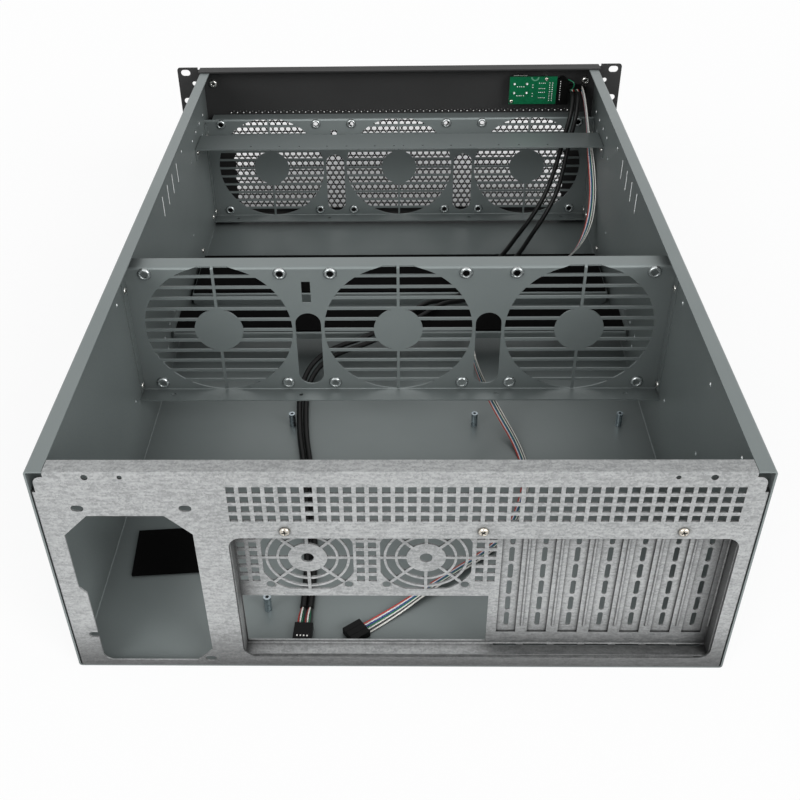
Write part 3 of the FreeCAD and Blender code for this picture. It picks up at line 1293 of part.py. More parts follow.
# torus quarter turns: the arc starts along its own +X, so each is turned into the YZ plane
HANDLE_TURNS = {
    "low": Rotation(Vector(0, -1, 0), Vector(0, 0, -1), Vector(1, 0, 0), "XYZ"),
    "high": Rotation(Vector(0, 0, 1), Vector(0, -1, 0), Vector(1, 0, 0), "XYZ"),
}


# ------------------------------------------------------------------ cables

def cable(label, points, thick):
    """Sweep a round cable along straight runs joined by tangent arcs, and check its volume."""
    corners = [Vector(*point) for point in points]
    edges = []
    radii = []
    start = corners[0]
    length = 0.0
    for before, here, after in zip(corners, corners[1:], corners[2:]):
        into = (here - before).normalize()
        out = (after - here).normalize()
        half_turn = into.getAngle(out) / 2
        reach = 0.45 * min((here - before).Length, (after - here).Length)
        radius = reach / math.tan(half_turn)
        radii.append(radius)
        first = here - into * reach
        last = here + out * reach
        inward = (out - into).normalize()
        middle = here + inward * (radius / math.cos(half_turn) - radius)
        edges.append(Part.LineSegment(start, first).toShape())
        edges.append(Part.Arc(first, middle, last).toShape())
        length += (first - start).Length + 2 * half_turn * radius
        start = last
    edges.append(Part.LineSegment(start, corners[-1]).toShape())
    length += (corners[-1] - start).Length
    spine = Part.Wire(edges)
    direction = (corners[1] - corners[0]).normalize()
    ring = Part.Wire(Part.Circle(corners[0], direction, value(thick) / 2).toShape())
    tube = spine.makePipeShell([ring], True, True)
    expected = math.pi * value(thick) ** 2 / 4 * length
    print(f"{label}: length {length:.1f} mm, smallest radius {min(radii):.1f}, "
          f"volume ratio {tube.Volume / expected:.4f}")
    feature = DOC.addObject("Part::Feature", label)
    feature.Shape = tube
    return feature


# The routes drop from the boards behind the cross bar, climb over both rails and pass under the
# middle fan wall to the header plugs.
USB_ROUTE_A = (
    (-187.4, -315.4, 152), (-187.4, -303.4, 152), (-186.2, -291.5, 145.3), (-183.8, -284.2, 133),
    (-180.3, -281.5, 118), (-176.3, -278.5, 101), (-170.8, -269, 82), (-161.3, -255, 59),
    (-146, -245, 34), (-128, -224, 21.8), (-112.6, -191, 20.6), (-92, -158, 20.2), (-76, -130, 20.6),
    (-59, -104, 20.8), (-44, -84, 28.3), (-27, -67, 38.7), (-8, -44, 39.1), (12, -24, 38.7),
    (33, -13, 33.5), (52, -11.5, 27.5), (67, -10, 20.5), (78.5, -3.5, 14), (85.5, 9, 8.5),
    (88.5, 24, 4.9), (88.8, 42, 3.9), (87, 66, 3.9), (84.4, 92, 3.9), (79.4, 121, 3.9),
    (75, 152, 3.9), (71.6, 184, 3.9), (69.2, 214, 3.9), (67.2, 243, 4.0), (66.8, 271.3, 4.1),
    (67.9, 293.3, 4.1),
)
USB_ROUTE_B = (
    (-193.0, -315.4, 152), (-193.0, -303.6, 152), (-192.0, -291.8, 145.2), (-190, -284.6, 133),
    (-187, -281.6, 118.2), (-183.4, -277, 100.5), (-178.9, -266, 80.5), (-171.9, -251.5, 59),
    (-158, -241, 35), (-143, -223, 22.3), (-128.5, -190, 20.6), (-108, -156, 20.2), (-91, -129, 20.6),
    (-74, -103, 20.8), (-59, -83, 28.3), (-42, -65, 38.7), (-23, -43, 39.1), (-4, -24.5, 38.9),
    (12.5, -14.3, 36), (31, -7.4, 30.5), (50, -5.8, 24.5), (64, -4, 17.5), (74.5, 2, 11),
    (80.5, 13.5, 6.2), (82.8, 27.5, 4.2), (82.9, 43, 3.9), (81.3, 68, 3.9), (78.7, 94, 3.9),
    (73.7, 123, 3.9), (69.2, 154, 3.9), (66.4, 185, 3.9), (63.7, 214, 3.9), (62, 243, 4.0),
    (61.8, 271.55, 4.1), (62.9, 293.55, 4.1),
)
LEAD_ROUTE = (
    (-199, -315.4, 152), (-199, -302.4, 152), (-199.8, -290.6, 145.4), (-201.5, -283.2, 134),
    (-203.8, -280, 120), (-206.3, -275, 103.5), (-208.6, -262, 86), (-209.2, -240, 65),
    (-204.5, -217, 42), (-192, -192, 29), (-176.4, -155, 38.3), (-163, -119, 53),
    (-150.2, -84, 64.3), (-133.5, -55, 74.5), (-113, -29, 84), (-93, -8, 90), (-76, 12, 90.5),
    (-66, 28, 84), (-62.4, 41, 72), (-64, 51, 57), (-71.5, 59, 38.5), (-80, 67, 24),
    (-88.5, 79, 13), (-97, 96, 6), (-102.2, 114, 3.9), (-104.5, 134, 3.9), (-101, 156, 3.9),
    (-93, 182, 3.9), (-82, 206, 4.0), (-63, 228, 4.6), (-40.5, 247, 6.5), (-18, 265, 6.0),
    (4.5, 281.7, 4.0), (23.3, 295.4, 4.0),
)


def cords():
    """Three loose cables and the plugs on their ends, lying on the floor."""
    rest = "(dim.steel + dim.plug_rest)"
    plug = DOC.addObject("Part::Box", "header_plug")
    plug.setExpression("Length", "dim.header_wide")
    plug.setExpression("Width", "dim.header_length")
    plug.setExpression("Height", "dim.header_high")
    middle = [(near + far) / 2 for near, far in zip(USB_ROUTE_A[-1], USB_ROUTE_B[-1])]
    aside = Vector(*USB_ROUTE_A[-1]) - Vector(*USB_ROUTE_B[-1])
    aside.normalize()
    place(plug, Rotation(Vector(1, 0, 0), aside), x=f"{middle[0]} - dim.header_wide / 2 * {aside.x:.6f}",
          y=f"{middle[1]} - dim.header_wide / 2 * {aside.y:.6f}", z=rest)
    part("usb_header_plug", plug)
    (before_x, before_y, _), (end_x, end_y, _) = LEAD_ROUTE[-2:]
    angle = math.atan2(end_y - before_y, end_x - before_x)
    plugs = []
    for index in (-1, 0, 1):
        plug = DOC.addObject("Part::Box", f"lead_plug_{index + 1}")
        plug.setExpression("Length", "dim.lead_plug_length")
        plug.setExpression("Width", "dim.lead_plug_wide")
        plug.setExpression("Height", "dim.header_high")
        aside = f"({index} * dim.lead_plug_pitch - dim.lead_plug_wide / 2)"
        place(plug, Rotation(Vector(0, 0, 1), math.degrees(angle)),
              x=f"{end_x} - {aside} * {math.sin(angle):.6f}", y=f"{end_y} + {aside} * {math.cos(angle):.6f}",
              z=rest)
        plugs.append(plug)
    part("lead_plugs", group("lead_plugs", plugs))
    part("usb_cable_a", cable("usb_cable_a", USB_ROUTE_A, "dim.usb_cable_thick"))
    part("usb_cable_b", cable("usb_cable_b", USB_ROUTE_B, "dim.usb_cable_thick"))
    part("front_panel_lead", cable("front_panel_lead", LEAD_ROUTE, "dim.lead_thick"))


def build():
    """Build every sub-part in turn."""
    chassis_tray()
    rear_panel()
    rear_io_pan()
    slot_covers()
    rear_screws()
    fan_wall("mid_fan_wall", MID_FACE, "dim.mid_wall_lift", "dim.mid_wall_relief")
    fan_wall("front_fan_wall", FRONT_FACE, "dim.front_wall_lift", "dim.front_wall_relief")
    wall_rivets()
    rack_screws()
    cross_bar()
    support_rails()
    supply_pad()
    standoffs()
    front_panel()
    boards()
    handles()
    cords()
    DOC.recompute()


def export():
    """Check every object and write one STEP file for each sub-part."""
    for obj in DOC.Objects:
        if {"Invalid", "Error"} & set(obj.State):
            raise RuntimeError(f"{obj.Name} failed: {obj.State}")
    os.makedirs("parts", exist_ok=True)
    for obj in PARTS:
        if obj.Shape.isNull() or not obj.Shape.isValid():
            raise RuntimeError(f"{obj.Label} has a bad shape")
        obj.Shape.exportStep(f"parts/{obj.Label}.step")
        bounds = obj.Shape.BoundBox
        print(f"{obj.Label}: {len(obj.Shape.Solids)} solids, {obj.Shape.Volume:.0f} mm3, "
              f"x {bounds.XMin:.1f}..{bounds.XMax:.1f} y {bounds.YMin:.1f}..{bounds.YMax:.1f} "
              f"z {bounds.ZMin:.1f}..{bounds.ZMax:.1f}")


build()
export()
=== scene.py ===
"""Dresses an open rackmount server case: plated steel, a perforated front, boards and loose wiring."""

import json
import logging
import math
from collections import Counter
from dataclasses import dataclass, field
from enum import Enum
from functools import cache
from itertools import product
from typing import Iterator

import bmesh
import bpy
from mathutils import Matrix, Vector

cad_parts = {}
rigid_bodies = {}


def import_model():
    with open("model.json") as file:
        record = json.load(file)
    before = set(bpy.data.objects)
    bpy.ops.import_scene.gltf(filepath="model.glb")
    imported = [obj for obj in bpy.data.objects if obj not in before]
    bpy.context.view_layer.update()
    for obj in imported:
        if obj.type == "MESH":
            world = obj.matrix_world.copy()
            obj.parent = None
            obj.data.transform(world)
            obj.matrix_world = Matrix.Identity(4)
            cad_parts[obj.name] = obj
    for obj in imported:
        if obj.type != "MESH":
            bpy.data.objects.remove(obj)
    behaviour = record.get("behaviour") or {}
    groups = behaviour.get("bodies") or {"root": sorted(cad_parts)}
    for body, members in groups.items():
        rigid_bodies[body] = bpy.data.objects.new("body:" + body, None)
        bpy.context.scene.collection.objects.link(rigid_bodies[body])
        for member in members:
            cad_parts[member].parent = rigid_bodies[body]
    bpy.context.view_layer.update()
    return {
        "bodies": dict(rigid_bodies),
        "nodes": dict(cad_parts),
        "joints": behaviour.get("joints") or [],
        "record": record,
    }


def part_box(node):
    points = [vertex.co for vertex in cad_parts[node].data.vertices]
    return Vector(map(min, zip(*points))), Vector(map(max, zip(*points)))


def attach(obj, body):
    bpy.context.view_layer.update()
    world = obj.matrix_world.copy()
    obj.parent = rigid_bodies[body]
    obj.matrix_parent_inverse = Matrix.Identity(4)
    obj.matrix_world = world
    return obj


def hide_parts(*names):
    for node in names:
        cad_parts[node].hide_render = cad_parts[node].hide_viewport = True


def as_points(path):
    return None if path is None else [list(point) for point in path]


LOG = logging.getLogger("rack_case")
Colour = tuple[float, float, float]
Point = tuple[float, float, float]
Pair = tuple[float, float]
Socket = bpy.types.NodeSocket
Piece = bpy.types.Object
Mesh = bmesh.types.BMesh
Vert = bmesh.types.BMVert
MM = 0.001
# points this near are one: corners of a node's loose triangles, and of the fine mesh's cells
MERGE = 0.002 * MM
SLACK = 0.02 * MM
ORIGIN = (0.0, 0.0, 0.0)
UP = (0.0, 0.0, 1.0)
WHITE = (1.0, 1.0, 1.0, 1.0)
WAVER_SCALE = 2.5
WAVER_REACH = 0.5
# samples of the ambient occlusion that paints shade into the steel's colour
PAINTED_SHADE_SAMPLES = 6
ARM_STEP = 15
WIRE_DARK = 0.8


# ---------------------------------------------------------------- shader building


def grey(level: float) -> Colour:
    """Return a neutral colour."""
    return (level, level, level)


class Graph:
    """A node tree that is built up node by node."""

    def __init__(self, tree: bpy.types.NodeTree) -> None:
        """Empty the tree.

        Args:
            tree: The node tree of a material or of the world.
        """
        self.nodes = tree.nodes
        self.links = tree.links
        self.nodes.clear()

    def add(self, kind: str, sockets: dict[str | int, object], output: str = "Vector",
            **settings: str | int) -> Socket:
        """Add a node and join it to what is there.

        Args:
            kind: The node's type.
            sockets: What goes into its inputs: another node's output, which is linked, or a value.
            output: Name of the output that is wanted.
            settings: Attributes of the node.

        Returns:
            The wanted output.
        """
        node = self.nodes.new(kind)
        for name, value in settings.items():
            setattr(node, name, value)
        for name, value in sockets.items():
            if isinstance(value, Socket):
                self.links.new(value, node.inputs[name])
            else:
                node.inputs[name].default_value = value
        return node.outputs[output]


class Shader(Graph):
    """A node material with a Principled shader, on Object coordinates."""

    def __init__(self, name: str) -> None:
        """Start the material with its shader and its output.

        Args:
            name: The material's name.
        """
        self.material = bpy.data.materials.new(name)
        self.material.use_nodes = True
        super().__init__(self.material.node_tree)
        self.surface = self.nodes.new("ShaderNodeBsdfPrincipled")
        self.output = self.nodes.new("ShaderNodeOutputMaterial")
        self.links.new(self.surface.outputs["BSDF"], self.output.inputs["Surface"])

    def plain(self, **values: float | Colour) -> None:
        """Set sockets of the Principled shader; an underscore stands for a space.

        Args:
            values: Socket names and their values.
        """
        for name, value in values.items():
            full = (*value, 1.0) if isinstance(value, tuple) else value
            self.surface.inputs[name.replace("_", " ")].default_value = full

    def drive(self, socket: str, source: Socket) -> None:
        """Link a node's output to one of the Principled shader's sockets."""
        self.links.new(source, self.surface.inputs[socket])

    def coordinates(self, stretch: Point = (1.0, 1.0, 1.0)) -> Socket:
        """Return Object coordinates, times a stretch: the larger it is, the finer the pattern."""
        place = self.add("ShaderNodeTexCoord", {}, "Object")
        return self.add("ShaderNodeMapping", {"Vector": place, "Scale": stretch})

    def noise(self, scale: float, detail: float = 3.0, stretch: Point = (1.0, 1.0, 1.0)) -> Socket:
        """Return a noise factor of so many cycles per metre and octaves of detail."""
        place = self.coordinates(stretch)
        return self.add("ShaderNodeTexNoise", {"Vector": place, "Scale": scale, "Detail": detail}, "Fac")

    def crystals(self, scale: float) -> Socket:
        """Return a random value per crystal, with wavering borders between them.

        Args:
            scale: Crystals per metre.

        Returns:
            A factor socket.
        """
        place = self.coordinates()
        sockets = {"Vector": place, "Scale": scale * WAVER_SCALE, "Detail": 2.0}
        waver = self.add("ShaderNodeTexNoise", sockets, "Color")
        reach = (WAVER_REACH / scale,) * 3
        shifted = self.add("ShaderNodeVectorMath", {0: waver, 1: reach, 2: place},
                           operation="MULTIPLY_ADD")
        cells = self.add("ShaderNodeTexVoronoi", {"Vector": shifted, "Scale": scale}, "Color")
        return self.add("ShaderNodeSeparateColor", {"Color": cells}, "Red")

    def blend(self, first: Socket, second: Socket, share: float) -> Socket:
        """Return a mix of two factors, in which the second one has the given share."""
        return self.add("ShaderNodeMix", {"Factor": share, "A": first, "B": second}, "Result")

    def spread(self, factor: Socket, low: float, high: float, edges: Pair = (0.3, 0.7)) -> Socket:
        """Map a factor from between two edges onto values from low to high."""
        ends = {"From Min": edges[0], "From Max": edges[1], "To Min": low, "To Max": high}
        return self.add("ShaderNodeMapRange", {"Value": factor, **ends}, "Result")

    def ramp(self, factor: Socket, dark: Colour, light: Colour, edges: Pair) -> Socket:
        """Map a factor onto two colours.

        Args:
            factor: The factor to map.
            dark: The colour at the first edge.
            light: The colour at the second edge.
            edges: Two factors from 0 to 1.

        Returns:
            The colour socket.
        """
        node = self.nodes.new("ShaderNodeValToRGB")
        for element, place, colour in zip(node.color_ramp.elements, edges, (dark, light)):
            element.position = place
            element.color = (*colour, 1.0)
        self.links.new(factor, node.inputs["Fac"])
        return node.outputs["Color"]

    def painted_shade(self, colour: Socket, reach: float, depth: float) -> Socket:
        """Paint shade into a colour where other surfaces stand close to it, darkening it by ambient
        occlusion.

        Args:
            colour: The colour to darken.
            reach: How near the other surfaces are, in metres.
            depth: The power that the openness of a spot is raised to.

        Returns:
            The colour socket.
        """
        openness = self.add("ShaderNodeAmbientOcclusion", {"Distance": reach}, "AO", samples=PAINTED_SHADE_SAMPLES)
        factor = self.add("ShaderNodeMath", {0: openness, 1: depth}, "Value", operation="POWER")
        return self.add("ShaderNodeVectorMath", {0: colour, "Scale": factor}, operation="SCALE")

    def bump(self, height: Socket, strength: float, distance: float) -> None:
        """Bend the shading normal by a share of a height, whose full size is a distance in metres."""
        sockets = {"Height": height, "Strength": strength, "Distance": distance}
        self.drive("Normal", self.add("ShaderNodeBump", sockets, "Normal"))


class Coat(Enum):
    """How a sheet of steel is finished."""

    PLATED = "smooth zinc plate"
    SPANGLED = "hot dipped zinc with visible crystals"


@dataclass(frozen=True)
class Finish:
    """What a surface is made of."""

    name: str

    @cache
    def material(self) -> bpy.types.Material:
        """Make this finish's one material when it is first asked for.

        Returns:
            The material.
        """
        shader = Shader(self.name)
        self.paint(shader)
        return shader.material

    def paint(self, shader: Shader) -> None:
        """Fill in a new material, in the way of each kind of finish."""
        raise NotImplementedError


@dataclass(frozen=True)
class Steel(Finish):
    """A zinc-coated steel sheet; its patterns are in cycles per metre."""

    coat: Coat
    dark: Colour
    light: Colour
    roughness: Pair
    edges: Pair = (0.3, 0.7)
    cloud: float = 9.0
    fine: float = 700.0
    fine_share: float = 0.15
    crystal: float = 900.0
    streak: float = 430.0
    streak_stretch: Point = (0.32, 1.0, 1.3)
    streak_share: float = 0.72
    cloud_share: float = 0.25
    metallic: float = 0.35
    # reach and depth shape the painted shade: how near other surfaces must stand, and how strongly it darkens
    reach: float = 0.04
    depth: float = 0.5
    relief: float = 0.2
    relief_height: float = 0.06 * MM

    def paint(self, shader: Shader) -> None:
        """Cloud the sheet, give it its grain and paint shade on it where other surfaces close it in.

        Args:
            shader: The material to fill in.
        """
        cloud = shader.noise(self.cloud, 4.0)
        fine = shader.noise(self.fine, 2.0)
        if self.coat is Coat.SPANGLED:
            streaks = shader.noise(self.streak, 5.0, self.streak_stretch)
            grain = shader.blend(shader.crystals(self.crystal), streaks, self.streak_share)
            tone = shader.blend(grain, cloud, self.cloud_share)
        else:
            grain = fine
            tone = shader.blend(cloud, fine, self.fine_share)
        coat = shader.ramp(tone, self.dark, self.light, self.edges)
        shader.drive("Base Color", shader.painted_shade(coat, self.reach, self.depth))
        shader.drive("Roughness", shader.spread(grain, *self.roughness, self.edges))
        shader.plain(Metallic=self.metallic, IOR=1.5)
        shader.bump(shader.blend(fine, grain, 0.5), self.relief, self.relief_height)


@dataclass(frozen=True)
class Plating(Finish):
    """A small bright metal part."""

    colour: Colour
    worn: Colour
    roughness: Pair = (0.18, 0.34)
    metallic: float = 1.0
    cloud: float = 450.0
    edges: Pair = (0.35, 0.6)

    def paint(self, shader: Shader) -> None:
        """Cloud the metal with its worn colour.

        Args:
            shader: The material to fill in.
        """
        cloud = shader.noise(self.cloud, 3.0)
        shader.drive("Base Color", shader.ramp(cloud, self.worn, self.colour, self.edges))
        shader.drive("Roughness", shader.spread(cloud, *self.roughness))
        shader.plain(Metallic=self.metallic)


@dataclass(frozen=True)
class Moulded(Finish):
    """A coated, moulded or foamed surface that isn't bare metal."""

    dark: Colour
    light: Colour
    roughness: Pair
    grain: float
    depth: float
    specular: float = 0.5
    strength: float = 0.3
    cloud: float = 14.0
    edges: Pair = (0.35, 0.65)

    def paint(self, shader: Shader) -> None:
        """Cloud the surface and give it a fine grain.

        Args:
            shader: The material to fill in.
        """
        grain = shader.noise(self.grain, 3.0)
        tone = shader.blend(shader.noise(self.cloud, 4.0), grain, 0.5)
        shader.drive("Base Color", shader.ramp(tone, self.dark, self.light, self.edges))
        shader.drive("Roughness", shader.spread(grain, *self.roughness))
        shader.plain(Specular_IOR_Level=self.specular)
        shader.bump(grain, self.strength, self.depth)


PLATED = Steel("zinc_plated_sheet", Coat.PLATED, (0.185, 0.212, 0.210), (0.215, 0.242, 0.240), (0.36, 0.42))
# the spangled sheets get a strong painted shade where other surfaces close them in
SPANGLED = Steel("spangled_sheet", Coat.SPANGLED, (0.235, 0.242, 0.242), (0.40, 0.408, 0.407), (0.36, 0.50),
                 (0.36, 0.64), metallic=0.12, reach=0.05, depth=2.6)
NICKEL = Plating("nickel_plate", (0.72, 0.71, 0.68), (0.52, 0.51, 0.48))
BRASSY = Plating("passivated_plate", (0.78, 0.73, 0.64), (0.40, 0.37, 0.32), (0.14, 0.26))
# a light colour for the skins over the fan cups' rims: a painted highlight
RIM_HIGHLIGHT = Plating("rim_painted_highlight", (0.54, 0.57, 0.57), (0.38, 0.41, 0.41), (0.18, 0.3), 0.8)
POST = Plating("plated_post", (0.44, 0.50, 0.53), (0.30, 0.35, 0.38), (0.25, 0.4))
# a near-black colour painted into the screws' recesses and the rivets' holes as painted shade
RECESS_SHADE = Plating("screw_recess_painted_shade", (0.05, 0.05, 0.048), (0.02, 0.02, 0.019), (0.5, 0.7))
# bare cut steel, lightened as a painted highlight, for the cut faces that look toward the lamps
CUT_EDGE_HIGHLIGHT = Plating("cut_steel_painted_highlight", (0.86, 0.88, 0.87), (0.70, 0.72, 0.71), (0.3, 0.45), 0.2)
SOLDER = Plating("solder", (0.95, 0.95, 0.94), (0.80, 0.80, 0.79), (0.15, 0.3), 0.35)
# grey painted light on the walls of the front mesh's holes, where lamp light falls into them
HOLE_WALL_LIGHT = Moulded("hole_wall_painted_light", (0.30, 0.30, 0.29), (0.42, 0.42, 0.40), (0.5, 0.7), 900.0, 0.05 * MM)
FOAM = Moulded("black_foam", grey(0.0025), grey(0.005), (0.9, 1.0), 900.0, 0.3 * MM, 0.05)
POWDER = Moulded("black_powder_coat", grey(0.016), grey(0.022), (0.5, 0.62), 1300.0, 0.06 * MM, 0.3)
BOARD = Moulded("green_solder_mask", (0.001, 0.078, 0.030), (0.002, 0.110, 0.043), (0.3, 0.42), 300.0,
                0.02 * MM, 0.25)
BLACK_BOARD = Moulded("black_board", grey(0.002), grey(0.004), (0.35, 0.5), 300.0, 0.02 * MM, 0.1)
PLASTIC = Moulded("black_plastic", grey(0.003), grey(0.0055), (0.4, 0.5), 1500.0, 0.03 * MM, 0.12)
SHEATH = Moulded("black_sheath", grey(0.004), grey(0.007), (0.36, 0.46), 1100.0, 0.03 * MM, 0.2)
LENS = Moulded("clear_lens", (0.62, 0.63, 0.60), (0.72, 0.72, 0.70), (0.1, 0.2), 300.0, 0.01 * MM)
INK = Moulded("pale_ink", (0.06, 0.20, 0.12), (0.09, 0.25, 0.16), (0.5, 0.6), 800.0, 0.01 * MM)
NODE_FINISHES: dict[Finish, tuple[str, ...]] = {
    PLATED: ("chassis_tray", "mid_fan_wall", "front_fan_wall", "cross_bar", "support_rail_front",
             "support_rail_rear"),
    SPANGLED: ("rear_panel", "rear_io_pan", *(f"slot_cover_{index}" for index in range(1, 8))),
    FOAM: ("rail_pad_front", "rail_pad_rear", "supply_bay_pad"),
    POST: ("motherboard_standoffs",),
    POWDER: ("front_panel", "handle_left", "handle_right"),
    BOARD: ("usb_board",),
    BLACK_BOARD: ("switch_board",),
    LENS: ("indicator_lamps",),
    PLASTIC: ("power_button", "reset_button", "usb_header_plug", "lead_plugs"),
    SHEATH: ("usb_cable_a", "usb_cable_b", "front_panel_lead"),
}


class Wire(Enum):
    """Insulation colours of the thin wires."""

    RED = (0.48, 0.035, 0.025)
    WHITE = (0.82, 0.81, 0.76)
    BLUE = (0.03, 0.06, 0.27)
    GREEN = (0.008, 0.16, 0.075)
    BLACK = grey(0.012)

    def finish(self) -> Moulded:
        """Return this insulation's finish."""
        dark = tuple(WIRE_DARK * part for part in self.value)
        return Moulded(f"wire_{self.name.lower()}", dark, self.value, (0.32, 0.45), 1500.0, 0.02 * MM)


# ---------------------------------------------------------------- piece building


def merged(name: str) -> Mesh:
    """Return a copy of a carried-over node's mesh, with its loose triangles joined.

    Args:
        name: The node's name.

    Returns:
        A new mesh, which the caller frees.
    """
    mesh = bmesh.new()
    mesh.from_mesh(bpy.data.objects[name].data)
    bmesh.ops.remove_doubles(mesh, verts=mesh.verts, dist=MERGE)
    return mesh


def stored(mesh: Mesh, name: str) -> bpy.types.Mesh:
    """Store a bmesh as mesh data and free it.

    Args:
        mesh: The bmesh.
        name: Name of the data.

    Returns:
        The data.
    """
    data = bpy.data.meshes.new(name)
    mesh.to_mesh(data)
    mesh.free()
    return data


def pour(data: bpy.types.Mesh, whole: Mesh) -> None:
    """Add mesh data to a larger mesh and remove the data."""
    whole.from_mesh(data)
    bpy.data.meshes.remove(data)


def linked(name: str, data: bpy.types.ID) -> Piece:
    """Add an object to the scene.

    Args:
        name: The object's name.
        data: Its mesh, curve, light or camera.

    Returns:
        The object.
    """
    piece = bpy.data.objects.new(name, data)
    bpy.context.scene.collection.objects.link(piece)
    return piece


def keep(mesh: Mesh, name: str, finishes: list[Finish]) -> Piece:
    """Turn a bmesh into a piece that rides on the case.

    Args:
        mesh: The mesh, in metres in the case's frame; it is freed.
        name: The piece's name.
        finishes: What its surfaces are made of.

    Returns:
        The new object.
    """
    bmesh.ops.recalc_face_normals(mesh, faces=mesh.faces)
    data = stored(mesh, name)
    for finish in finishes:
        data.materials.append(finish.material())
    piece = linked(name, data)
    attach(piece, "case")
    return piece


def metres(place: Point) -> Vector:
    """Return a point given in millimetres as a vector in metres."""
    return Vector(place) * MM


def ring(mesh: Mesh, radius: float, height: float, count: int) -> list[Vert]:
    """Add a circle about Z and return its vertices."""
    place = Matrix.Translation((0.0, 0.0, height))
    return bmesh.ops.create_circle(mesh, segments=count, radius=radius, matrix=place)["verts"]


def loop_edges(verts: list[Vert]) -> list[bmesh.types.BMEdge]:
    """Return the edges that join the given vertices to each other."""
    found = dict.fromkeys(edge for vert in verts for edge in vert.link_edges)
    return [edge for edge in found if set(edge.verts) <= set(verts)]


def verts_in(geometry: list) -> list[Vert]:
    """Return the vertices among the elements that an operator made."""
    return [item for item in geometry if isinstance(item, Vert)]


def thicken(mesh: Mesh, faces: list[bmesh.types.BMFace], along: Point) -> list[Vert]:
    """Extrude faces and leave them in place as the other side.

    Args:
        mesh: Their mesh.
        faces: The faces.
        along: The way to the new side, in metres.

    Returns:
        The new side's vertices.
    """
    moved = verts_in(bmesh.ops.extrude_face_region(mesh, geom=faces, use_keep_orig=True)["geom"])
    bmesh.ops.translate(mesh, verts=moved, vec=along)
    return moved


def box_of(points: list[Vector]) -> tuple[Vector, Vector]:
    """Return the lowest and the highest corner of some points."""
    spans = [[point[axis] for point in points] for axis in range(3)]
    return Vector([min(span) for span in spans]), Vector([max(span) for span in spans])


def solid_boxes(name: str) -> list[tuple[Vector, Vector]]:
    """Return the box of each separate solid of a carried-over node, in a fixed order.

    Args:
        name: The node's name.

    Returns:
        Pairs of lowest and highest corners.
    """
    mesh = merged(name)
    seen: set[Vert] = set()
    boxes = []
    for start in mesh.verts:
        if start in seen:
            continue
        seen.add(start)
        reached = [start]
        for vert in reached:
            beside = [edge.other_vert(vert) for edge in vert.link_edges]
            fresh = [other for other in dict.fromkeys(beside) if other not in seen]
            seen.update(fresh)
            reached.extend(fresh)
        boxes.append(box_of([vert.co for vert in reached]))
    mesh.free()
    return sorted(boxes, key=lambda box: [round(part, 4) for part in box[0]])


def add_block(mesh: Mesh, low: Vector, high: Vector, soften: float = 0.0,
              turn: Matrix | None = None) -> None:
    """Add a box.

    Args:
        mesh: The mesh to add to.
        low: Its lowest corner.
        high: Its highest corner.
        soften: Radius of its edges.
        turn: A transform for the finished box.
    """
    place = Matrix.Translation((low + high) / 2) @ Matrix.Diagonal((*(high - low), 1.0))
    verts = bmesh.ops.create_cube(mesh, size=1.0, matrix=place)["verts"]
    if turn is not None:
        bmesh.ops.transform(mesh, matrix=turn, verts=verts)
    if soften > 0.0:
        bmesh.ops.bevel(mesh, geom=loop_edges(verts), offset=soften, segments=2, profile=0.5,
                        affect="EDGES", material=-1)


class Drive(Enum):
    """What is sunk into a fastener's head."""

    CROSS = "cross recess"
    MANDREL = "round hole of a blind rivet"


@dataclass
class Screw:
    """A pan head screw or a blind rivet, standing on Z with its seat at 0."""

    head: float
    rise: float
    shank: float
    length: float
    drive: Drive = Drive.CROSS
    segments: int = 24
    # the rest are shares of the head's radius and of its rise
    profile: tuple[Pair, ...] = ((1.0, 0.0), (1.0, 0.25), (0.93, 0.6), (0.78, 0.86), (0.56, 1.0))
    mouth: float = 0.98
    arm: float = 0.56
    arm_half: float = 0.15
    arm_corner: float = 0.97
    mandrel: float = 0.3
    taper: float = 0.6
    depth: float = 0.6

    def build(self) -> Mesh:
        """Build the screw.

        Returns:
            A new mesh, which the caller frees.
        """
        mesh = bmesh.new()
        rings = [ring(mesh, self.shank, level, self.segments) for level in (-self.length, 0.0)]
        rings.extend(ring(mesh, self.head * wide, self.rise * high, self.segments)
                     for wide, high in self.profile)
        for lower, upper in zip(rings, rings[1:]):
            bmesh.ops.bridge_loops(mesh, edges=loop_edges(lower) + loop_edges(upper))
        bmesh.ops.contextual_create(mesh, geom=rings[0])
        level = self.rise * self.mouth
        if self.drive is Drive.CROSS:
            mouth = self.cross(mesh, level)
        else:
            mouth = ring(mesh, self.head * self.mandrel, level, self.segments)
        bmesh.ops.bridge_loops(mesh, edges=loop_edges(rings[-1]) + loop_edges(mouth))
        for face in mesh.faces:
            face.smooth = True
        floor = verts_in(bmesh.ops.extrude_edge_only(mesh, edges=loop_edges(mouth))["geom"])
        bmesh.ops.scale(mesh, verts=floor, vec=(self.taper, self.taper, 1.0))
        bmesh.ops.translate(mesh, verts=floor, vec=(0.0, 0.0, -self.rise * self.depth))
        bmesh.ops.contextual_create(mesh, geom=floor)
        # the recess's walls and floor take the second material, a painted shade
        for vert in floor:
            for face in vert.link_faces:
                face.material_index = 1
        return mesh

    def cross(self, mesh: Mesh, level: float) -> list[Vert]:
        """Add the outline of a cross recess, with a vertex at every step of 15 degrees.

        Args:
            mesh: The mesh to add to.
            level: Height of the outline.

        Returns:
            Its vertices.
        """
        reach, half = self.head * self.arm, self.head * self.arm_half
        # where the vertices go, by their steps from the middle of an arm
        places = ((reach, 0.0), (reach * self.arm_corner, half), (reach / 2, half), (half, half))
        verts = ring(mesh, reach, level, 360 // ARM_STEP)
        for vert in verts:
            quarter = round(math.atan2(vert.co.y, vert.co.x) / (math.pi / 2))
            turn = Matrix.Rotation(-quarter * math.pi / 2, 4, "Z")
            local = turn @ vert.co
            step = round(math.degrees(math.atan2(local.y, local.x)) / ARM_STEP)
            x, y = places[abs(step)]
            vert.co = turn.inverted() @ Vector((x, math.copysign(y, step), level))
        return verts


# ---------------------------------------------------------------- sub-assemblies


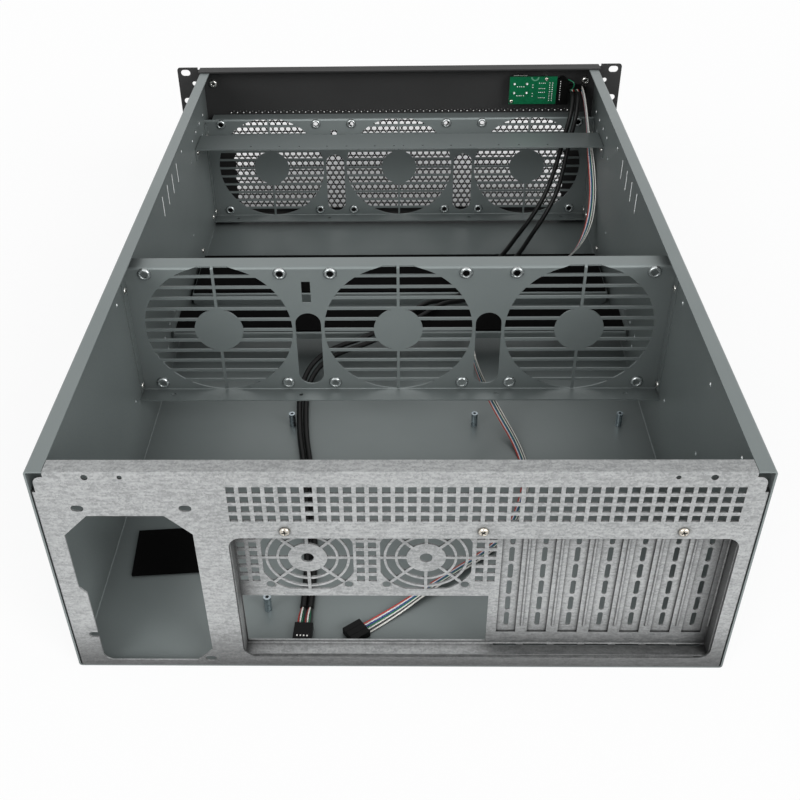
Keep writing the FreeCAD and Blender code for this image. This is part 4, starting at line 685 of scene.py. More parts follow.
@dataclass
class FrontPanel:
    """The front panel with its real fine mesh in place of the coarse one."""

    half_width: float = 189.5 * MM
    low: float = 5.6 * MM
    high: float = 127.0 * MM
    pitch: float = 6.93 * MM
    hole: float = 2.65 * MM
    columns: int = 54
    rows: int = 19
    first_row: float = 9.0 * MM
    sides: int = 18
    margin: int = 2
    plate_depth: float = 0.05 * MM
    middle_half: float = 150.0 * MM
    middle_low: float = 30.0 * MM
    middle_high: float = 110.0 * MM

    def build(self) -> Piece:
        """Build the panel.

        Returns:
            The finished piece, which replaces the CAD node.
        """
        face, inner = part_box("front_panel")[0].y, self.inner_face()
        mesh = merged("front_panel")
        self.open_window(mesh, inner)
        pour(self.perforated_sheet(face, inner), mesh)
        piece = keep(mesh, "front_panel_dressed", [POWDER, HOLE_WALL_LIGHT])
        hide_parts("front_panel")
        return piece

    def inner_face(self) -> float:
        """Find the plate's inner face from the vertices near its middle.

        Returns:
            The face's Y.
        """
        places = [vert.co for vert in bpy.data.objects["front_panel"].data.vertices]
        return max(place.y for place in places
                   if abs(place.x) < self.middle_half and self.middle_low < place.z < self.middle_high)

    def borders(self) -> list[tuple[Point, Point]]:
        """Return a point on each side of the fine field, with the side's outward normal."""
        across = [((side * self.half_width, 0.0, 0.0), (side, 0.0, 0.0)) for side in (1, -1)]
        return [*across, ((0.0, 0.0, self.low), (0.0, 0.0, -1.0)), ((0.0, 0.0, self.high), (0.0, 0.0, 1.0))]

    def open_window(self, mesh: Mesh, inner: float) -> None:
        """Cut the coarse field out of the plate and close the cut's walls.

        Args:
            mesh: The panel's mesh.
            inner: Y of the plate's inner face.
        """
        limit = inner + self.plate_depth
        for spot, normal in self.borders():
            plate = [face for face in mesh.faces if all(vert.co.y < limit for vert in face.verts)]
            edges = dict.fromkeys(edge for face in plate for edge in face.edges)
            verts = dict.fromkeys(vert for face in plate for vert in face.verts)
            bmesh.ops.bisect_plane(mesh, geom=[*plate, *edges, *verts], plane_co=spot, plane_no=normal)
        inside = [face for face in mesh.faces
                  if all(vert.co.y < limit and abs(vert.co.x) < self.half_width + SLACK
                         and self.low - SLACK < vert.co.z < self.high + SLACK for vert in face.verts)]
        bmesh.ops.delete(mesh, geom=inside, context="FACES")
        bmesh.ops.bridge_loops(mesh, edges=[edge for edge in mesh.edges if edge.is_boundary])

    def perforated_sheet(self, face: float, inner: float) -> bpy.types.Mesh:
        """Build the sheet with its staggered round holes.

        Args:
            face: Y of the sheet's outer face.
            inner: Y of its inner face.

        Returns:
            The sheet's mesh data.
        """
        holed, blank = self.cell(True), self.cell(False)
        mesh = bmesh.new()
        row_pitch = self.pitch * math.sqrt(3) / 2
        reach = (self.columns / 2 + 0.1) * self.pitch
        half = self.columns // 2 + self.margin
        for row in range(-self.margin, self.rows + self.margin):
            for column in range(-half, half + 1):
                x = (column + (row % 2) / 2) * self.pitch
                source = holed if 0 <= row < self.rows and abs(x) < reach else blank
                place = Matrix.Translation((x, 0.0, self.first_row + row * row_pitch))
                source.transform(place)
                mesh.from_mesh(source)
                source.transform(place.inverted())
        for data in (holed, blank):
            bpy.data.meshes.remove(data)
        bmesh.ops.remove_doubles(mesh, verts=mesh.verts, dist=SLACK)
        for spot, normal in self.borders():
            bmesh.ops.bisect_plane(mesh, geom=[*mesh.faces, *mesh.edges, *mesh.verts], plane_co=spot,
                                   plane_no=normal, clear_outer=True)
        bmesh.ops.translate(mesh, verts=mesh.verts, vec=(0.0, face, 0.0))
        thicken(mesh, mesh.faces[:], (0.0, inner - face, 0.0))
        mesh.normal_update()
        # the walls of the holes take the second material, grey painted light
        for side in mesh.faces:
            side.material_index = int(abs(side.normal.y) < 0.5)
        return stored(mesh, "perforated_sheet")

    def cell(self, holed: bool) -> bpy.types.Mesh:
        """Build one six-sided cell of the sheet, in the XZ plane.

        Args:
            holed: Whether the cell has its round hole.

        Returns:
            The cell's mesh data.
        """
        mesh = bmesh.new()
        sixth = Matrix.Rotation(math.pi / 6, 3, "Z")
        outer = ring(mesh, self.pitch / math.sqrt(3), 0.0, 6)
        bmesh.ops.rotate(mesh, verts=outer, matrix=sixth)
        bmesh.ops.subdivide_edges(mesh, edges=mesh.edges[:], cuts=self.sides // 6 - 1)
        rim = mesh.edges[:]
        if holed:
            inner = ring(mesh, self.hole, 0.0, self.sides)
            bmesh.ops.rotate(mesh, verts=inner, matrix=sixth)
            bmesh.ops.bridge_loops(mesh, edges=rim + loop_edges(inner))
        else:
            bmesh.ops.contextual_create(mesh, geom=rim)
        bmesh.ops.rotate(mesh, verts=mesh.verts, matrix=Matrix.Rotation(math.pi / 2, 3, "X"))
        return stored(mesh, "sheet_cell")


@dataclass
class Fastening:
    """One node of screws or rivets, each dressed where its solid stands."""

    node: str
    screw: Screw
    axis: int
    finish: Finish
    inward: bool = False
    first_turn: float = 0.3
    next_turn: float = 0.7

    def build(self) -> Piece:
        """Build the fasteners in place of the CAD node.

        Returns:
            The piece.
        """
        whole = bmesh.new()
        for index, (low, high) in enumerate(solid_boxes(self.node)):
            seat = (low + high) / 2
            sign = -math.copysign(1.0, seat[self.axis]) if self.inward else 1.0
            crest = high[self.axis] if sign > 0.0 else low[self.axis]
            seat[self.axis] = crest - sign * self.screw.rise
            toward = Vector(ORIGIN)
            toward[self.axis] = sign
            turn = Vector(UP).rotation_difference(toward).to_matrix().to_4x4()
            spin = Matrix.Rotation(self.next_turn * index + self.first_turn, 4, "Z")
            one = self.screw.build()
            bmesh.ops.transform(one, matrix=Matrix.Translation(seat) @ turn @ spin, verts=one.verts)
            pour(stored(one, "screw"), whole)
        piece = keep(whole, f"{self.node}_dressed", [self.finish, RECESS_SHADE])
        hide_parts(self.node)
        return piece


SIDE_SCREW = Screw(2.8 * MM, 1.5 * MM, 1.4 * MM, 1.0 * MM)
FASTENINGS = (
    Fastening("rear_pan_screws", Screw(3.25 * MM, 1.9 * MM, 1.6 * MM, 3.8 * MM), 1, BRASSY),
    Fastening("slot_cover_screws", Screw(3.0 * MM, 1.9 * MM, 1.6 * MM, 3.8 * MM), 2, BRASSY),
    Fastening("board_screws", Screw(2.1 * MM, 1.6 * MM, 1.0 * MM, 5.8 * MM), 1, BRASSY),
    Fastening("handle_screws", Screw(4.4 * MM, 2.6 * MM, 2.0 * MM, 8.8 * MM), 1, NICKEL),
    Fastening("fan_wall_rivets", Screw(3.0 * MM, 1.1 * MM, 1.5 * MM, 1.8 * MM, Drive.MANDREL), 0, NICKEL,
              inward=True),
    *(Fastening(node, SIDE_SCREW, 0, NICKEL, inward=True)
      for node in ("side_screws", "cross_bar_screws", "support_rail_screws")),
)


@dataclass
class BossRims:
    """Lighter skins over the rims of the pressed cups that take the fans' screws: a painted highlight where
    the rims catch the light.
    """

    walls: tuple[str, ...] = ("mid_fan_wall", "front_fan_wall")
    wall_half: float = 200.0 * MM
    fan_pitch: float = 144.0 * MM
    screw_pitch: float = 105.0 * MM
    centre: float = 60.7 * MM
    rise: float = 1.5 * MM
    steps: int = 28
    section: tuple[Pair, ...] = ((2.75, -0.2), (2.75, 0.12), (3.1, 0.3), (3.9, 0.28), (4.3, 0.02),
                                 (5.45, -1.42), (5.2, -1.48), (4.0, -0.2))

    def build(self) -> Piece:
        """Build every rim as one piece.

        Returns:
            The piece.
        """
        whole = bmesh.new()
        for low, face in map(self.wall_face, self.walls):
            for fan, right, up in product((-1, 0, 1), (-1, 1), (-1, 1)):
                x = fan * self.fan_pitch + right * self.screw_pitch / 2
                z = low + self.centre + up * self.screw_pitch / 2
                self.rim(whole, Vector((x, face + self.rise, z)))
        return keep(whole, "fan_screw_rims", [RIM_HIGHLIGHT])

    def wall_face(self, wall: str) -> Pair:
        """Find the sheet of a wall: its two faces are the levels that most points share.

        Args:
            wall: The wall's node.

        Returns:
            The wall's lowest level and the Y of its rear face.
        """
        places = [vert.co for vert in bpy.data.objects[wall].data.vertices]
        counts = Counter(round(place.y, 5) for place in places if abs(place.x) < self.wall_half)
        faces = sorted(sorted(counts), key=lambda level: -counts[level])[:2]
        return min(place.z for place in places), max(faces)

    def rim(self, whole: Mesh, place: Vector) -> None:
        """Add one rim.

        Args:
            whole: The mesh to add to.
            place: The middle of the cup's crest.
        """
        mesh = bmesh.new()
        verts = [mesh.verts.new((radius * MM, 0.0, height * MM)) for radius, height in self.section]
        edges = [mesh.edges.new(pair) for pair in zip(verts, verts[1:] + verts[:1])]
        bmesh.ops.spin(mesh, geom=[*verts, *edges], cent=ORIGIN, axis=UP, angle=2 * math.pi,
                       steps=self.steps, use_merge=True)
        turn = Matrix.Rotation(-math.pi / 2, 4, "X")
        bmesh.ops.transform(mesh, matrix=Matrix.Translation(place) @ turn, verts=mesh.verts)
        for face in mesh.faces:
            face.smooth = True
        pour(stored(mesh, "rim"), whole)


@dataclass
class CutEdges:
    """Light skins on the cut faces of the slots punched through both side walls: bare cut steel, with a
    painted highlight, on the faces that look toward the lamps.
    """

    wall: str = "chassis_tray"
    low: float = 127.0 * MM
    high: float = 149.0 * MM
    skin: float = 0.12 * MM
    facing: float = 0.9

    def build(self) -> Piece:
        """Build a thin skin over every cut face that looks toward the rear, toward the lamps, as painted
        highlight.

        Returns:
            The piece.
        """
        spans: dict[tuple[int, float], list[Vector]] = {}
        data = bpy.data.objects[self.wall].data
        for face in data.polygons:
            corners = [data.vertices[index].co for index in face.vertices]
            levels = [corner.z for corner in corners]
            if face.normal.y > self.facing and self.low < min(levels) and max(levels) < self.high:
                side = int(math.copysign(1, face.center.x))
                spans.setdefault((side, round(face.center.y, 4)), []).extend(corners)
        mesh = bmesh.new()
        for _, corners in sorted(spans.items()):
            low, high = box_of(corners)
            add_block(mesh, low, high + Vector((0.0, self.skin, 0.0)))
        LOG.info("%d slot faces with painted highlight", len(spans))
        return keep(mesh, "side_slot_edges", [CUT_EDGE_HIGHLIGHT])


@dataclass
class Strand:
    """One thin insulated wire along a route in metres."""

    colour: Wire
    route: list[Vector]


@dataclass
class Wiring:
    """Round cables and thin wires, lying on the floor of the case."""

    cable_thick: float = 4.8 * MM
    core_thick: float = 1.15 * MM
    bare_start: float = 9.0 * MM
    bare_end: float = 15.0 * MM
    quarter_steps: int = 4
    span_steps: int = 6
    core_pitch: float = 1.3 * MM
    core_lift: float = 0.7 * MM
    tucked: float = 3.0 * MM
    # how far along the bare stretch the cores stand widest, and their pitch there and at the sheath
    widest: float = 0.55
    widest_pitch: float = 1.25
    sheath_pitch: float = 0.4
    lengths: dict[str, float] = field(default_factory=lambda: {
        "usb_cable_a": 0.8077, "usb_cable_b": 0.8091, "front_panel_lead": 0.8189})

    def curve(self, name: str, route: list[Vector], thick: float) -> Piece:
        """Add a smooth round cable along a route.

        Args:
            name: The object's name.
            route: Its points in metres.
            thick: Its diameter.

        Returns:
            The curve object.
        """
        data = bpy.data.curves.new(name, "CURVE")
        data.dimensions = "3D"
        data.bevel_depth = thick / 2
        data.bevel_resolution = self.quarter_steps
        data.resolution_u = self.span_steps
        data.use_fill_caps = True
        spline = data.splines.new("NURBS")
        spline.points.add(len(route) - 1)
        for point, place in zip(spline.points, route):
            point.co = (*place, 1.0)
        spline.order_u = 3
        spline.use_endpoint_u = True
        return linked(name, data)

    def cable(self, node: str, route: tuple[Point, ...]) -> Piece:
        """Add one USB cable in place of its CAD node; its sheath stops short of both ends.

        Args:
            node: The CAD node.
            route: Its points in millimetres.

        Returns:
            The cable.
        """
        points = [metres(place) for place in route]
        piece = self.curve(f"{node}_dressed", points, self.cable_thick)
        piece.data.bevel_factor_mapping_start = piece.data.bevel_factor_mapping_end = "SPLINE"
        piece.data.bevel_factor_start = self.bare_start / self.lengths[node]
        piece.data.bevel_factor_end = 1.0 - self.bare_end / self.lengths[node]
        piece.data.materials.append(SHEATH.material())
        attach(piece, "case")
        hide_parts(node)
        return piece

    def bundle(self, name: str, strands: list[Strand], thick: float) -> Piece:
        """Join thin wires into one piece with a material for each colour.

        Args:
            name: The piece's name.
            strands: The wires.
            thick: Their diameter.

        Returns:
            The piece, a mesh.
        """
        colours = list(dict.fromkeys(strand.colour for strand in strands))
        whole = bmesh.new()
        for strand in strands:
            data = self.as_mesh(self.curve("strand", strand.route, thick))
            for polygon in data.polygons:
                polygon.material_index = colours.index(strand.colour)
                polygon.use_smooth = True
            pour(data, whole)
        return keep(whole, name, [colour.finish() for colour in colours])

    @staticmethod
    def as_mesh(curve: Piece) -> bpy.types.Mesh:
        """Turn a curve into mesh data and remove the curve.

        Args:
            curve: The curve object.

        Returns:
            The mesh data.
        """
        bpy.context.view_layer.update()
        graph = bpy.context.evaluated_depsgraph_get()
        data = bpy.data.meshes.new_from_object(curve.evaluated_get(graph))
        bpy.data.objects.remove(curve)
        return data

    def cores(self) -> Piece:
        """Add the bare cores of both USB cables at both of their ends.

        Returns:
            The piece.
        """
        strands = []
        for route in (USB_ROUTE_A, USB_ROUTE_B):
            for ends, bare in ((route[:2], self.bare_start), (route[:-3:-1], self.bare_end)):
                tip, before = (metres(place) for place in ends)
                along = (before - tip).normalized()
                aside = along.cross(Vector(UP)).normalized()
                for index, colour in enumerate((Wire.RED, Wire.WHITE, Wire.GREEN, Wire.BLACK)):
                    wide = aside * (index - 1.5) * self.core_pitch
                    lift = Vector(UP) * (self.core_lift if index % 2 else -self.core_lift)
                    strands.append(Strand(colour, [
                        tip + wide, tip + along * bare * self.widest + wide * self.widest_pitch + lift,
                        tip + along * bare + wide * self.sheath_pitch + lift / 2,
                        tip + along * (bare + self.tucked)]))
        strands.append(Strand(Wire.GREEN, [metres(place) for place in LOOSE_CORE]))
        return self.bundle("usb_cores", strands, self.core_thick)


USB_ROUTE_A = (
    (-187.4, -315.4, 152), (-187.4, -303.4, 152), (-186.2, -291.5, 145.3), (-183.8, -284.2, 133),
    (-180.3, -281.5, 118), (-176.3, -278.5, 101), (-170.8, -269, 82), (-161.3, -255, 59),
    (-146, -245, 34), (-128, -224, 21.8), (-112.6, -191, 20.6), (-92, -158, 20.2), (-76, -130, 20.6),
    (-59, -104, 20.8), (-44, -84, 28.3), (-27, -67, 38.7), (-8, -44, 39.1), (12, -24, 38.7),
    (33, -13, 33.5), (52, -11.5, 27.5), (67, -10, 20.5), (78.5, -3.5, 14), (85.5, 9, 8.5),
    (88.5, 24, 4.9), (88.8, 42, 3.9), (87, 66, 3.9), (84.4, 92, 3.9), (79.4, 121, 3.9),
    (75, 152, 3.9), (71.6, 184, 3.9), (69.2, 214, 3.9), (67.2, 243, 4.0), (66.8, 271.3, 4.1),
    (67.9, 293.3, 4.1),
)
USB_ROUTE_B = (
    (-193.0, -315.4, 152), (-193.0, -303.6, 152), (-192.0, -291.8, 145.2), (-190, -284.6, 133),
    (-187, -281.6, 118.2), (-183.4, -277, 100.5), (-178.9, -266, 80.5), (-171.9, -251.5, 59),
    (-158, -241, 35), (-143, -223, 22.3), (-128.5, -190, 20.6), (-108, -156, 20.2), (-91, -129, 20.6),
    (-74, -103, 20.8), (-59, -83, 28.3), (-42, -65, 38.7), (-23, -43, 39.1), (-4, -24.5, 38.9),
    (12.5, -14.3, 36), (31, -7.4, 30.5), (50, -5.8, 24.5), (64, -4, 17.5), (74.5, 2, 11),
    (80.5, 13.5, 6.2), (82.8, 27.5, 4.2), (82.9, 43, 3.9), (81.3, 68, 3.9), (78.7, 94, 3.9),
    (73.7, 123, 3.9), (69.2, 154, 3.9), (66.4, 185, 3.9), (63.7, 214, 3.9), (62, 243, 4.0),
    (61.8, 271.55, 4.1), (62.9, 293.55, 4.1),
)
LEAD_ROUTE = (
    (-199, -315.4, 152), (-199, -302.4, 152), (-199.8, -290.6, 145.4), (-201.5, -283.2, 134),
    (-203.8, -280, 120), (-206.3, -275, 103.5), (-208.6, -262, 86), (-209.2, -240, 65),
    (-204.5, -217, 42), (-192, -192, 29), (-176.4, -155, 38.3), (-163, -119, 53),
    (-150.2, -84, 64.3), (-133.5, -55, 74.5), (-113, -29, 84), (-93, -8, 90), (-76, 12, 90.5),
    (-66, 28, 84), (-62.4, 41, 72), (-64, 51, 57), (-71.5, 59, 38.5), (-80, 67, 24),
    (-88.5, 79, 13), (-97, 96, 6), (-102.2, 114, 3.9), (-104.5, 134, 3.9), (-101, 156, 3.9),
    (-93, 182, 3.9), (-82, 206, 4.0), (-63, 228, 4.6), (-40.5, 247, 6.5), (-18, 265, 6.0),
    (4.5, 281.7, 4.0), (23.3, 295.4, 4.0),
)


# the loose green core in front of the switches, in millimetres
LOOSE_CORE = ((-183.5, -315.4, 163.0), (-187.0, -310.5, 163.4), (-189.4, -309.0, 160.5),
              (-188.6, -310.5, 155.5), (-187.9, -313.5, 152.5))
# steps of the lead's route and the way in which its last wire lies from its first one there
LEAD_TWIST: tuple[tuple[int, Point], ...] = (
    (0, (0.0, 0.0, 1.0)), (2, (0.0, 0.6, 0.8)), (4, (-0.1, 1.0, 0.2)), (6, (-1.0, 0.4, 0.2)),
    (7, (-1.0, 0.0, 0.0)),
    (9, (-0.7, 0.1, 0.7)), (15, (-0.7, 0.1, 0.7)), (17, (-0.1, 0.5, 0.75)), (18, (0.0, 0.75, 0.65)),
    (19, (-0.35, 0.8, 0.4)), (21, (-1.0, 0.2, 0.0)), (25, (-1.0, 0.0, 0.0)), (28, (-0.84, 0.55, 0.0)),
    (33, (-0.59, 0.81, 0.0)),
)


@dataclass
class FlatLead:
    """The flat lead of thin coloured wires that lie side by side."""

    wiring: Wiring
    route: tuple[Point, ...]
    wires: tuple[Wire, ...] = (Wire.RED, Wire.WHITE, Wire.BLUE, Wire.GREEN, Wire.WHITE, Wire.BLACK,
                               Wire.WHITE)
    pitch: float = 1.05 * MM
    thick: float = 1.2 * MM
    # the wires' pitch, as a share, at the last steps of the route and before them
    near_plug: tuple[float, ...] = (1.35, 1.2, 0.8)
    bunched: float = 0.82
    bunched_steps: int = 24
    sink: float = 2.0 * MM
    floor_level: float = 4.3 * MM

    def build(self) -> Piece:
        """Build the lead in place of its CAD node.

        Returns:
            The piece, a mesh with a material for each colour.
        """
        middle = [metres(place) for place in self.route]
        strands = []
        for index, colour in enumerate(self.wires):
            aside = (index - (len(self.wires) - 1) / 2) * self.pitch
            strands.append(Strand(colour, [
                self.settle(place) + self.across(middle, step) * aside * self.fan_out(len(middle) - 1 - step)
                for step, place in enumerate(middle)]))
        piece = self.wiring.bundle("front_panel_lead_dressed", strands, self.thick)
        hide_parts("front_panel_lead")
        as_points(self.centre_line(middle))
        return piece

    def fan_out(self, left: int) -> float:
        """Return how far the wires stand apart, for the steps of the route that are left to the plug."""
        far = self.bunched if left < self.bunched_steps else 1.0
        return dict(enumerate(self.near_plug)).get(left, far)

    def settle(self, place: Vector) -> Vector:
        """Return a point of the route, let down onto the floor where the lead lies flat on it."""
        return place - Vector(UP) * self.sink if place.z < self.floor_level else place

    def centre_line(self, middle: list[Vector]) -> list[Point]:
        """Return the points of the smooth line that the lead follows.

        Args:
            middle: The route.

        Returns:
            The points, in metres.
        """
        data = self.wiring.as_mesh(self.wiring.curve("centre_line", middle, 0.0))
        points = [tuple(vert.co) for vert in data.vertices]
        bpy.data.meshes.remove(data)
        return points

    def across(self, middle: list[Vector], step: int) -> Vector:
        """Return the direction in which the wires lie beside each other at one point of the route.

        Args:
            middle: The route.
            step: Index of the point.

        Returns:
            A unit vector across the route.
        """
        before = middle[max(step - 1, 0)]
        after = middle[min(step + 1, len(middle) - 1)]
        along = (after - before).normalized()
        for (first, low), (last, high) in zip(LEAD_TWIST, LEAD_TWIST[1:]):
            if step <= last:
                wanted = Vector(low).lerp(Vector(high), (step - first) / (last - first))
                break
        return (wanted - along * wanted.dot(along)).normalized()


@dataclass
class Joints:
    """Equal solder cones on the back of a board, at every pair of an X and a Z, in millimetres."""

    columns: tuple[float, ...]
    levels: tuple[float, ...]
    wide: float
    high: float
    segments: int = 12
    tip: float = 0.45
    sunk: float = 0.02

    def build(self, mesh: Mesh, back: float) -> None:
        """Add every cone.

        Args:
            mesh: The board's mesh.
            back: Y of the board's back.
        """
        turn = Matrix.Rotation(-math.pi / 2, 4, "X")
        for x, z in product(self.columns, self.levels):
            spot = Matrix.Translation(metres((x, self.high / 2 - self.sunk, z)) + Vector((0.0, back, 0.0)))
            made = bmesh.ops.create_cone(mesh, cap_ends=True, segments=self.segments, radius1=self.wide * MM,
                                         radius2=self.wide * self.tip * MM, depth=self.high * MM,
                                         matrix=spot @ turn)
            for face in {face for vert in made["verts"] for face in vert.link_faces}:
                face.material_index = 1
                face.smooth = True


SOCKET_JOINTS = (
    Joints((-139.2, -125.8), (148.6, 158.7), 1.5, 1.7),
    Joints((-136.0, -133.5, -131.5, -129.0), (145.5, 155.6), 0.72, 0.8),
    Joints((-145.6,), (157.4, 154.8, 148.0, 145.0), 0.72, 0.7),
    Joints((-152.6, -154.6, -156.6, -158.6), (159.4, 153.4, 149.2, 143.0), 0.612, 0.6),
    Joints((-163.9, -166.8), tuple(159.6 - 2.45 * step for step in range(9)), 0.648, 0.7),
)
SWITCH_JOINTS = (Joints((-175.4,), tuple(161.0 - 2.5 * step for step in range(9)), 0.648, 0.7),)


@dataclass
class ControlBoards:
    """The green socket board and the black switch board, with what is soldered to them."""

    back: float = -315.4 * MM
    ring_x: float = -147.7 * MM
    ring_z: float = 166.1 * MM
    ring_radii: Pair = (2.9 * MM, 4.4 * MM)
    ring_steps: int = 18
    ink_proud: float = 0.05 * MM
    ink_thick: float = 0.07 * MM
    same_level: float = 0.001 * MM
    tab: tuple[tuple[Point, Point], ...] = (
        ((-139.0, -318.9, 160.6), (-124.6, -318.3, 168.0)),
        ((-139.0, -318.9, 167.4), (-124.6, -316.2, 168.0)))
    tab_soften: float = 0.12 * MM

    def build(self) -> list[Piece]:
        """Build both boards and the earthing tab of the sockets.

        Returns:
            The three pieces.
        """
        green, black = merged("usb_board"), merged("switch_board")
        for joints in SOCKET_JOINTS:
            joints.build(green, self.back)
        for joints in SWITCH_JOINTS:
            joints.build(black, self.back)
        self.half_ring(green)
        boards = [keep(green, "usb_board_dressed", [BOARD, SOLDER, INK]),
                  keep(black, "switch_board_dressed", [BLACK_BOARD, SOLDER])]
        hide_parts("usb_board")
        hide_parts("switch_board")
        return [*boards, self.earth_tab()]

    def half_ring(self, mesh: Mesh) -> None:
        """Add a printed half ring that hangs from the green board's upper edge.

        Args:
            mesh: The board's mesh.
        """
        level = self.back + self.ink_proud
        rim = [mesh.verts.new((self.ring_x + radius, level, self.ring_z)) for radius in self.ring_radii]
        line = mesh.edges.new(rim)
        bmesh.ops.spin(mesh, geom=[*rim, line], cent=(self.ring_x, level, self.ring_z),
                       axis=(0.0, 1.0, 0.0), angle=math.pi, steps=self.ring_steps, use_merge=False)
        printed = [vert for vert in mesh.verts if abs(vert.co.y - level) < self.same_level]
        faces = list(dict.fromkeys(face for vert in printed for face in vert.link_faces))
        under = thicken(mesh, faces, (0.0, -self.ink_thick, 0.0))
        for vert in under + [vert for face in faces for vert in face.verts]:
            for face in vert.link_faces:
                face.material_index = 2

    def earth_tab(self) -> Piece:
        """Build the folded tab of the sockets' shell that stands above the green board.

        Returns:
            The piece.
        """
        mesh = bmesh.new()
        for low, high in self.tab:
            add_block(mesh, metres(low), metres(high), self.tab_soften)
        return keep(mesh, "socket_earth_tab", [NICKEL])


@dataclass
class HeaderContacts:
    """The ends of the contacts that show in the windows of the header plug."""

    far_middle: Pair = (65.4 * MM, 293.4 * MM)
    along: Pair = (0.050, 0.99875)
    reach: float = 11.3 * MM
    pitch: float = 2.3 * MM
    top: float = 6.6 * MM
    half: Point = (0.45, 0.6, 0.04)

    def build(self) -> Piece:
        """Build the four contact ends.

        Returns:
            The piece.
        """
        mesh = bmesh.new()
        ahead = Vector((*self.along, 0.0))
        aside = Vector((-ahead.y, ahead.x, 0.0))
        turn = Matrix.Rotation(-math.atan2(ahead.x, ahead.y), 4, "Z")
        middle = Vector((*self.far_middle, self.top)) + ahead * self.reach
        half = metres(self.half)
        for index in range(4):
            place = Matrix.Translation(middle + aside * (index - 1.5) * self.pitch)
            add_block(mesh, -half, half, 0.0, place @ turn)
        return keep(mesh, "header_contacts", [NICKEL])


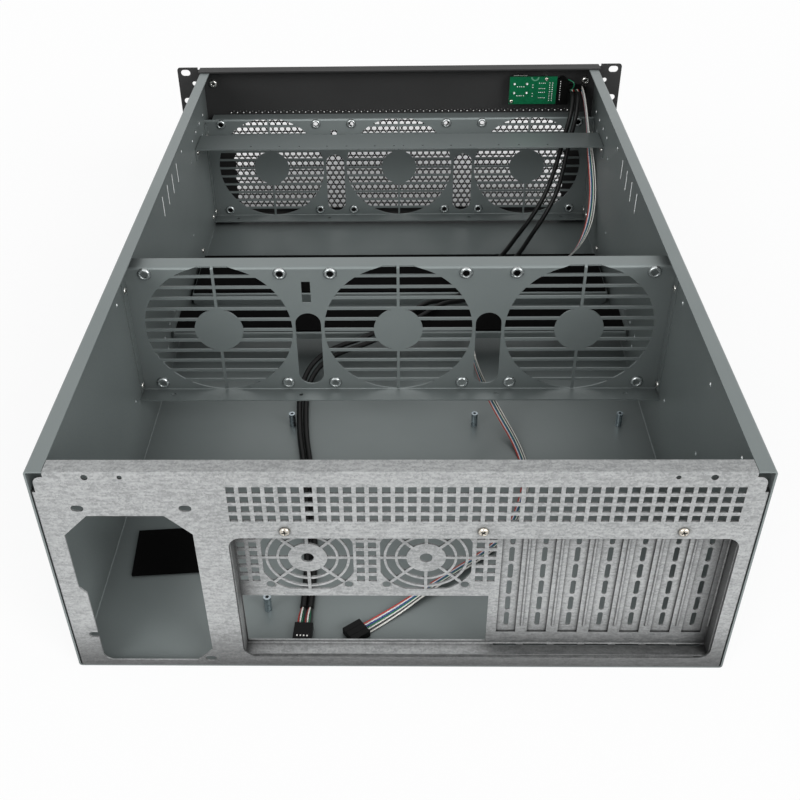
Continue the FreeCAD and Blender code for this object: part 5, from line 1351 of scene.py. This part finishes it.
@dataclass
class Studio:
    """The pale floor, the lamps, the surroundings and the camera."""

    floor_size: float = 60.0
    floor_level: float = -0.4 * MM
    floor_tone: float = 0.95
    floor_glow: float = 0.9
    shade_middle: float = 460.0 * MM
    shade_half: Point = (190.0 * MM, 130.0 * MM, 0.0)
    shade_fade: float = 70.0 * MM
    sky: tuple[float, float, float, float] = (0.97, 0.985, 1.0, 1.0)
    sky_strength: float = 0.32
    lamp_table: tuple[tuple[str, Point, float, float], ...] = (
        ("lamp_over", (0.1, 0.3, 2.4), 60.0, 0.2), ("lamp_right", (-1.9, 1.9, 1.4), 35.0, 2.1),
        ("lamp_left", (1.6, 2.1, 1.4), 35.0, 1.5))
    camera_place: Point = (-0.00287, 0.75577, 0.56492)
    pitch: float = 36.1185
    yaw: float = -1.6276
    roll: float = -1.1173
    lens: float = 45.74
    sensor: float = 36.0
    far: float = 100.0
    shift: Pair = (0.0267, -0.0444)

    def build(self) -> None:
        """Build the whole studio."""
        self.floor()
        self.surroundings()
        self.lamps()
        self.camera()

    def floor(self) -> None:
        """Add the pale floor, which is white where it is seen clear of the front panel's shade."""
        mesh = bmesh.new()
        bmesh.ops.create_grid(mesh, x_segments=1, y_segments=1, size=self.floor_size / 2,
                              matrix=Matrix.Translation((0.0, 0.0, self.floor_level)))
        floor = linked("studio_floor", stored(mesh, "studio_floor"))
        shader = Shader("studio_floor")
        shader.plain(Base_Color=grey(self.floor_tone), Roughness=0.9, Specular_IOR_Level=0.1)
        seen = shader.add("ShaderNodeLightPath", {}, "Is Camera Ray")
        share = shader.spread(self.clear_of_case(shader), 0.0, self.floor_glow, (0.0, self.shade_fade))
        factor = shader.add("ShaderNodeMath", {0: seen, 1: share}, "Value", operation="MULTIPLY")
        glow = shader.add("ShaderNodeEmission", {"Color": WHITE}, "Emission")
        sockets = {"Fac": factor, 1: shader.surface.outputs["BSDF"], 2: glow}
        mix = shader.add("ShaderNodeMixShader", sockets, "Shader")
        shader.links.new(mix, shader.output.inputs["Surface"])
        floor.data.materials.append(shader.material)

    def clear_of_case(self, shader: Shader) -> Socket:
        """Return the distance of a spot of the floor from the part that the front panel shades.

        Args:
            shader: The floor's material.

        Returns:
            The distance socket, in metres.
        """
        place = shader.coordinates()
        steps = {"ADD": (0.0, self.shade_middle, 0.0), "ABSOLUTE": ORIGIN, "SUBTRACT": self.shade_half,
                 "MAXIMUM": ORIGIN}
        for operation, value in steps.items():
            place = shader.add("ShaderNodeVectorMath", {0: place, 1: value}, operation=operation)
        return shader.add("ShaderNodeVectorMath", {0: place}, "Value", operation="LENGTH")

    def surroundings(self) -> None:
        """Set the world: white where it is seen, dimmer as a light."""
        world = bpy.data.worlds.new("studio")
        bpy.context.scene.world = world
        world.use_nodes = True
        graph = Graph(world.node_tree)
        dim, white = (graph.add("ShaderNodeBackground", {"Color": colour, "Strength": strength}, "Background")
                      for colour, strength in ((self.sky, self.sky_strength), (WHITE, 1.0)))
        seen = graph.add("ShaderNodeLightPath", {}, "Is Camera Ray")
        for ray in ("Is Glossy Ray", "Is Transmission Ray"):
            other = graph.add("ShaderNodeLightPath", {}, ray)
            seen = graph.add("ShaderNodeMath", {0: seen, 1: other}, "Value", operation="MAXIMUM")
        mix = graph.add("ShaderNodeMixShader", {"Fac": seen, 1: dim, 2: white}, "Shader")
        output = graph.nodes.new("ShaderNodeOutputWorld")
        graph.links.new(mix, output.inputs["Surface"])

    def lamps(self) -> None:
        """Add a weak broad lamp overhead and two stronger ones behind the camera, one to each side."""
        for name, place, spread, power in self.lamp_table:
            light = bpy.data.lights.new(name, "SUN")
            light.angle = math.radians(spread)
            light.energy = power
            turn = (-Vector(place)).to_track_quat("-Z", "Y").to_matrix().to_4x4()
            linked(name, light).matrix_world = Matrix.Translation(place) @ turn

    def camera(self) -> None:
        """Add the camera."""
        pitch, yaw, roll = (math.radians(angle) for angle in (self.pitch, self.yaw, self.roll))
        ahead = Vector((-math.sin(yaw) * math.cos(pitch), -math.cos(yaw) * math.cos(pitch), -math.sin(pitch)))
        level = Vector((-math.cos(yaw), math.sin(yaw), 0.0))
        above = level.cross(ahead)
        right = level * math.cos(roll) + above * math.sin(roll)
        up = above * math.cos(roll) - level * math.sin(roll)
        data = bpy.data.cameras.new("camera")
        data.sensor_width = self.sensor
        data.lens = self.lens
        data.shift_x, data.shift_y = self.shift
        data.clip_end = self.far
        camera = linked("camera", data)
        turn = Matrix((right, up, -ahead)).transposed().to_4x4()
        camera.matrix_world = Matrix.Translation(Vector(self.camera_place)) @ turn
        bpy.context.scene.camera = camera


@dataclass
class Case:
    """The whole case: the carried-over sheets and the pieces made here."""

    frame: dict

    def build(self) -> None:
        """Dress the solids, then build and report every new piece."""
        self.dress()
        for piece in self.pieces():
            LOG.info("built %s", piece.name)

    def pieces(self) -> Iterator[Piece]:
        """Build the new pieces one after another.

        Yields:
            Each finished piece.
        """
        wiring = Wiring()
        yield FrontPanel().build()
        for screws in FASTENINGS:
            yield screws.build()
        yield BossRims().build()
        yield CutEdges().build()
        yield from ControlBoards().build()
        yield HeaderContacts().build()
        yield wiring.cable("usb_cable_a", USB_ROUTE_A)
        yield wiring.cable("usb_cable_b", USB_ROUTE_B)
        yield wiring.cores()
        yield FlatLead(wiring, LEAD_ROUTE).build()

    def dress(self) -> None:
        """Give every carried-over solid its finish."""
        chosen = {name: finish for finish, names in NODE_FINISHES.items() for name in names}
        for name, node in self.frame["nodes"].items():
            node.data.materials.clear()
            node.data.materials.append(chosen.get(name, NICKEL).material())


def main() -> None:
    """Load the frame, dress the case and set the studio around it."""
    logging.basicConfig(level=logging.INFO, format="%(message)s")
    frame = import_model()
    Case(frame).build()
    Studio().build()
    bpy.context.scene.view_settings.view_transform = "Standard"


if __name__ == "__main__":
    main()
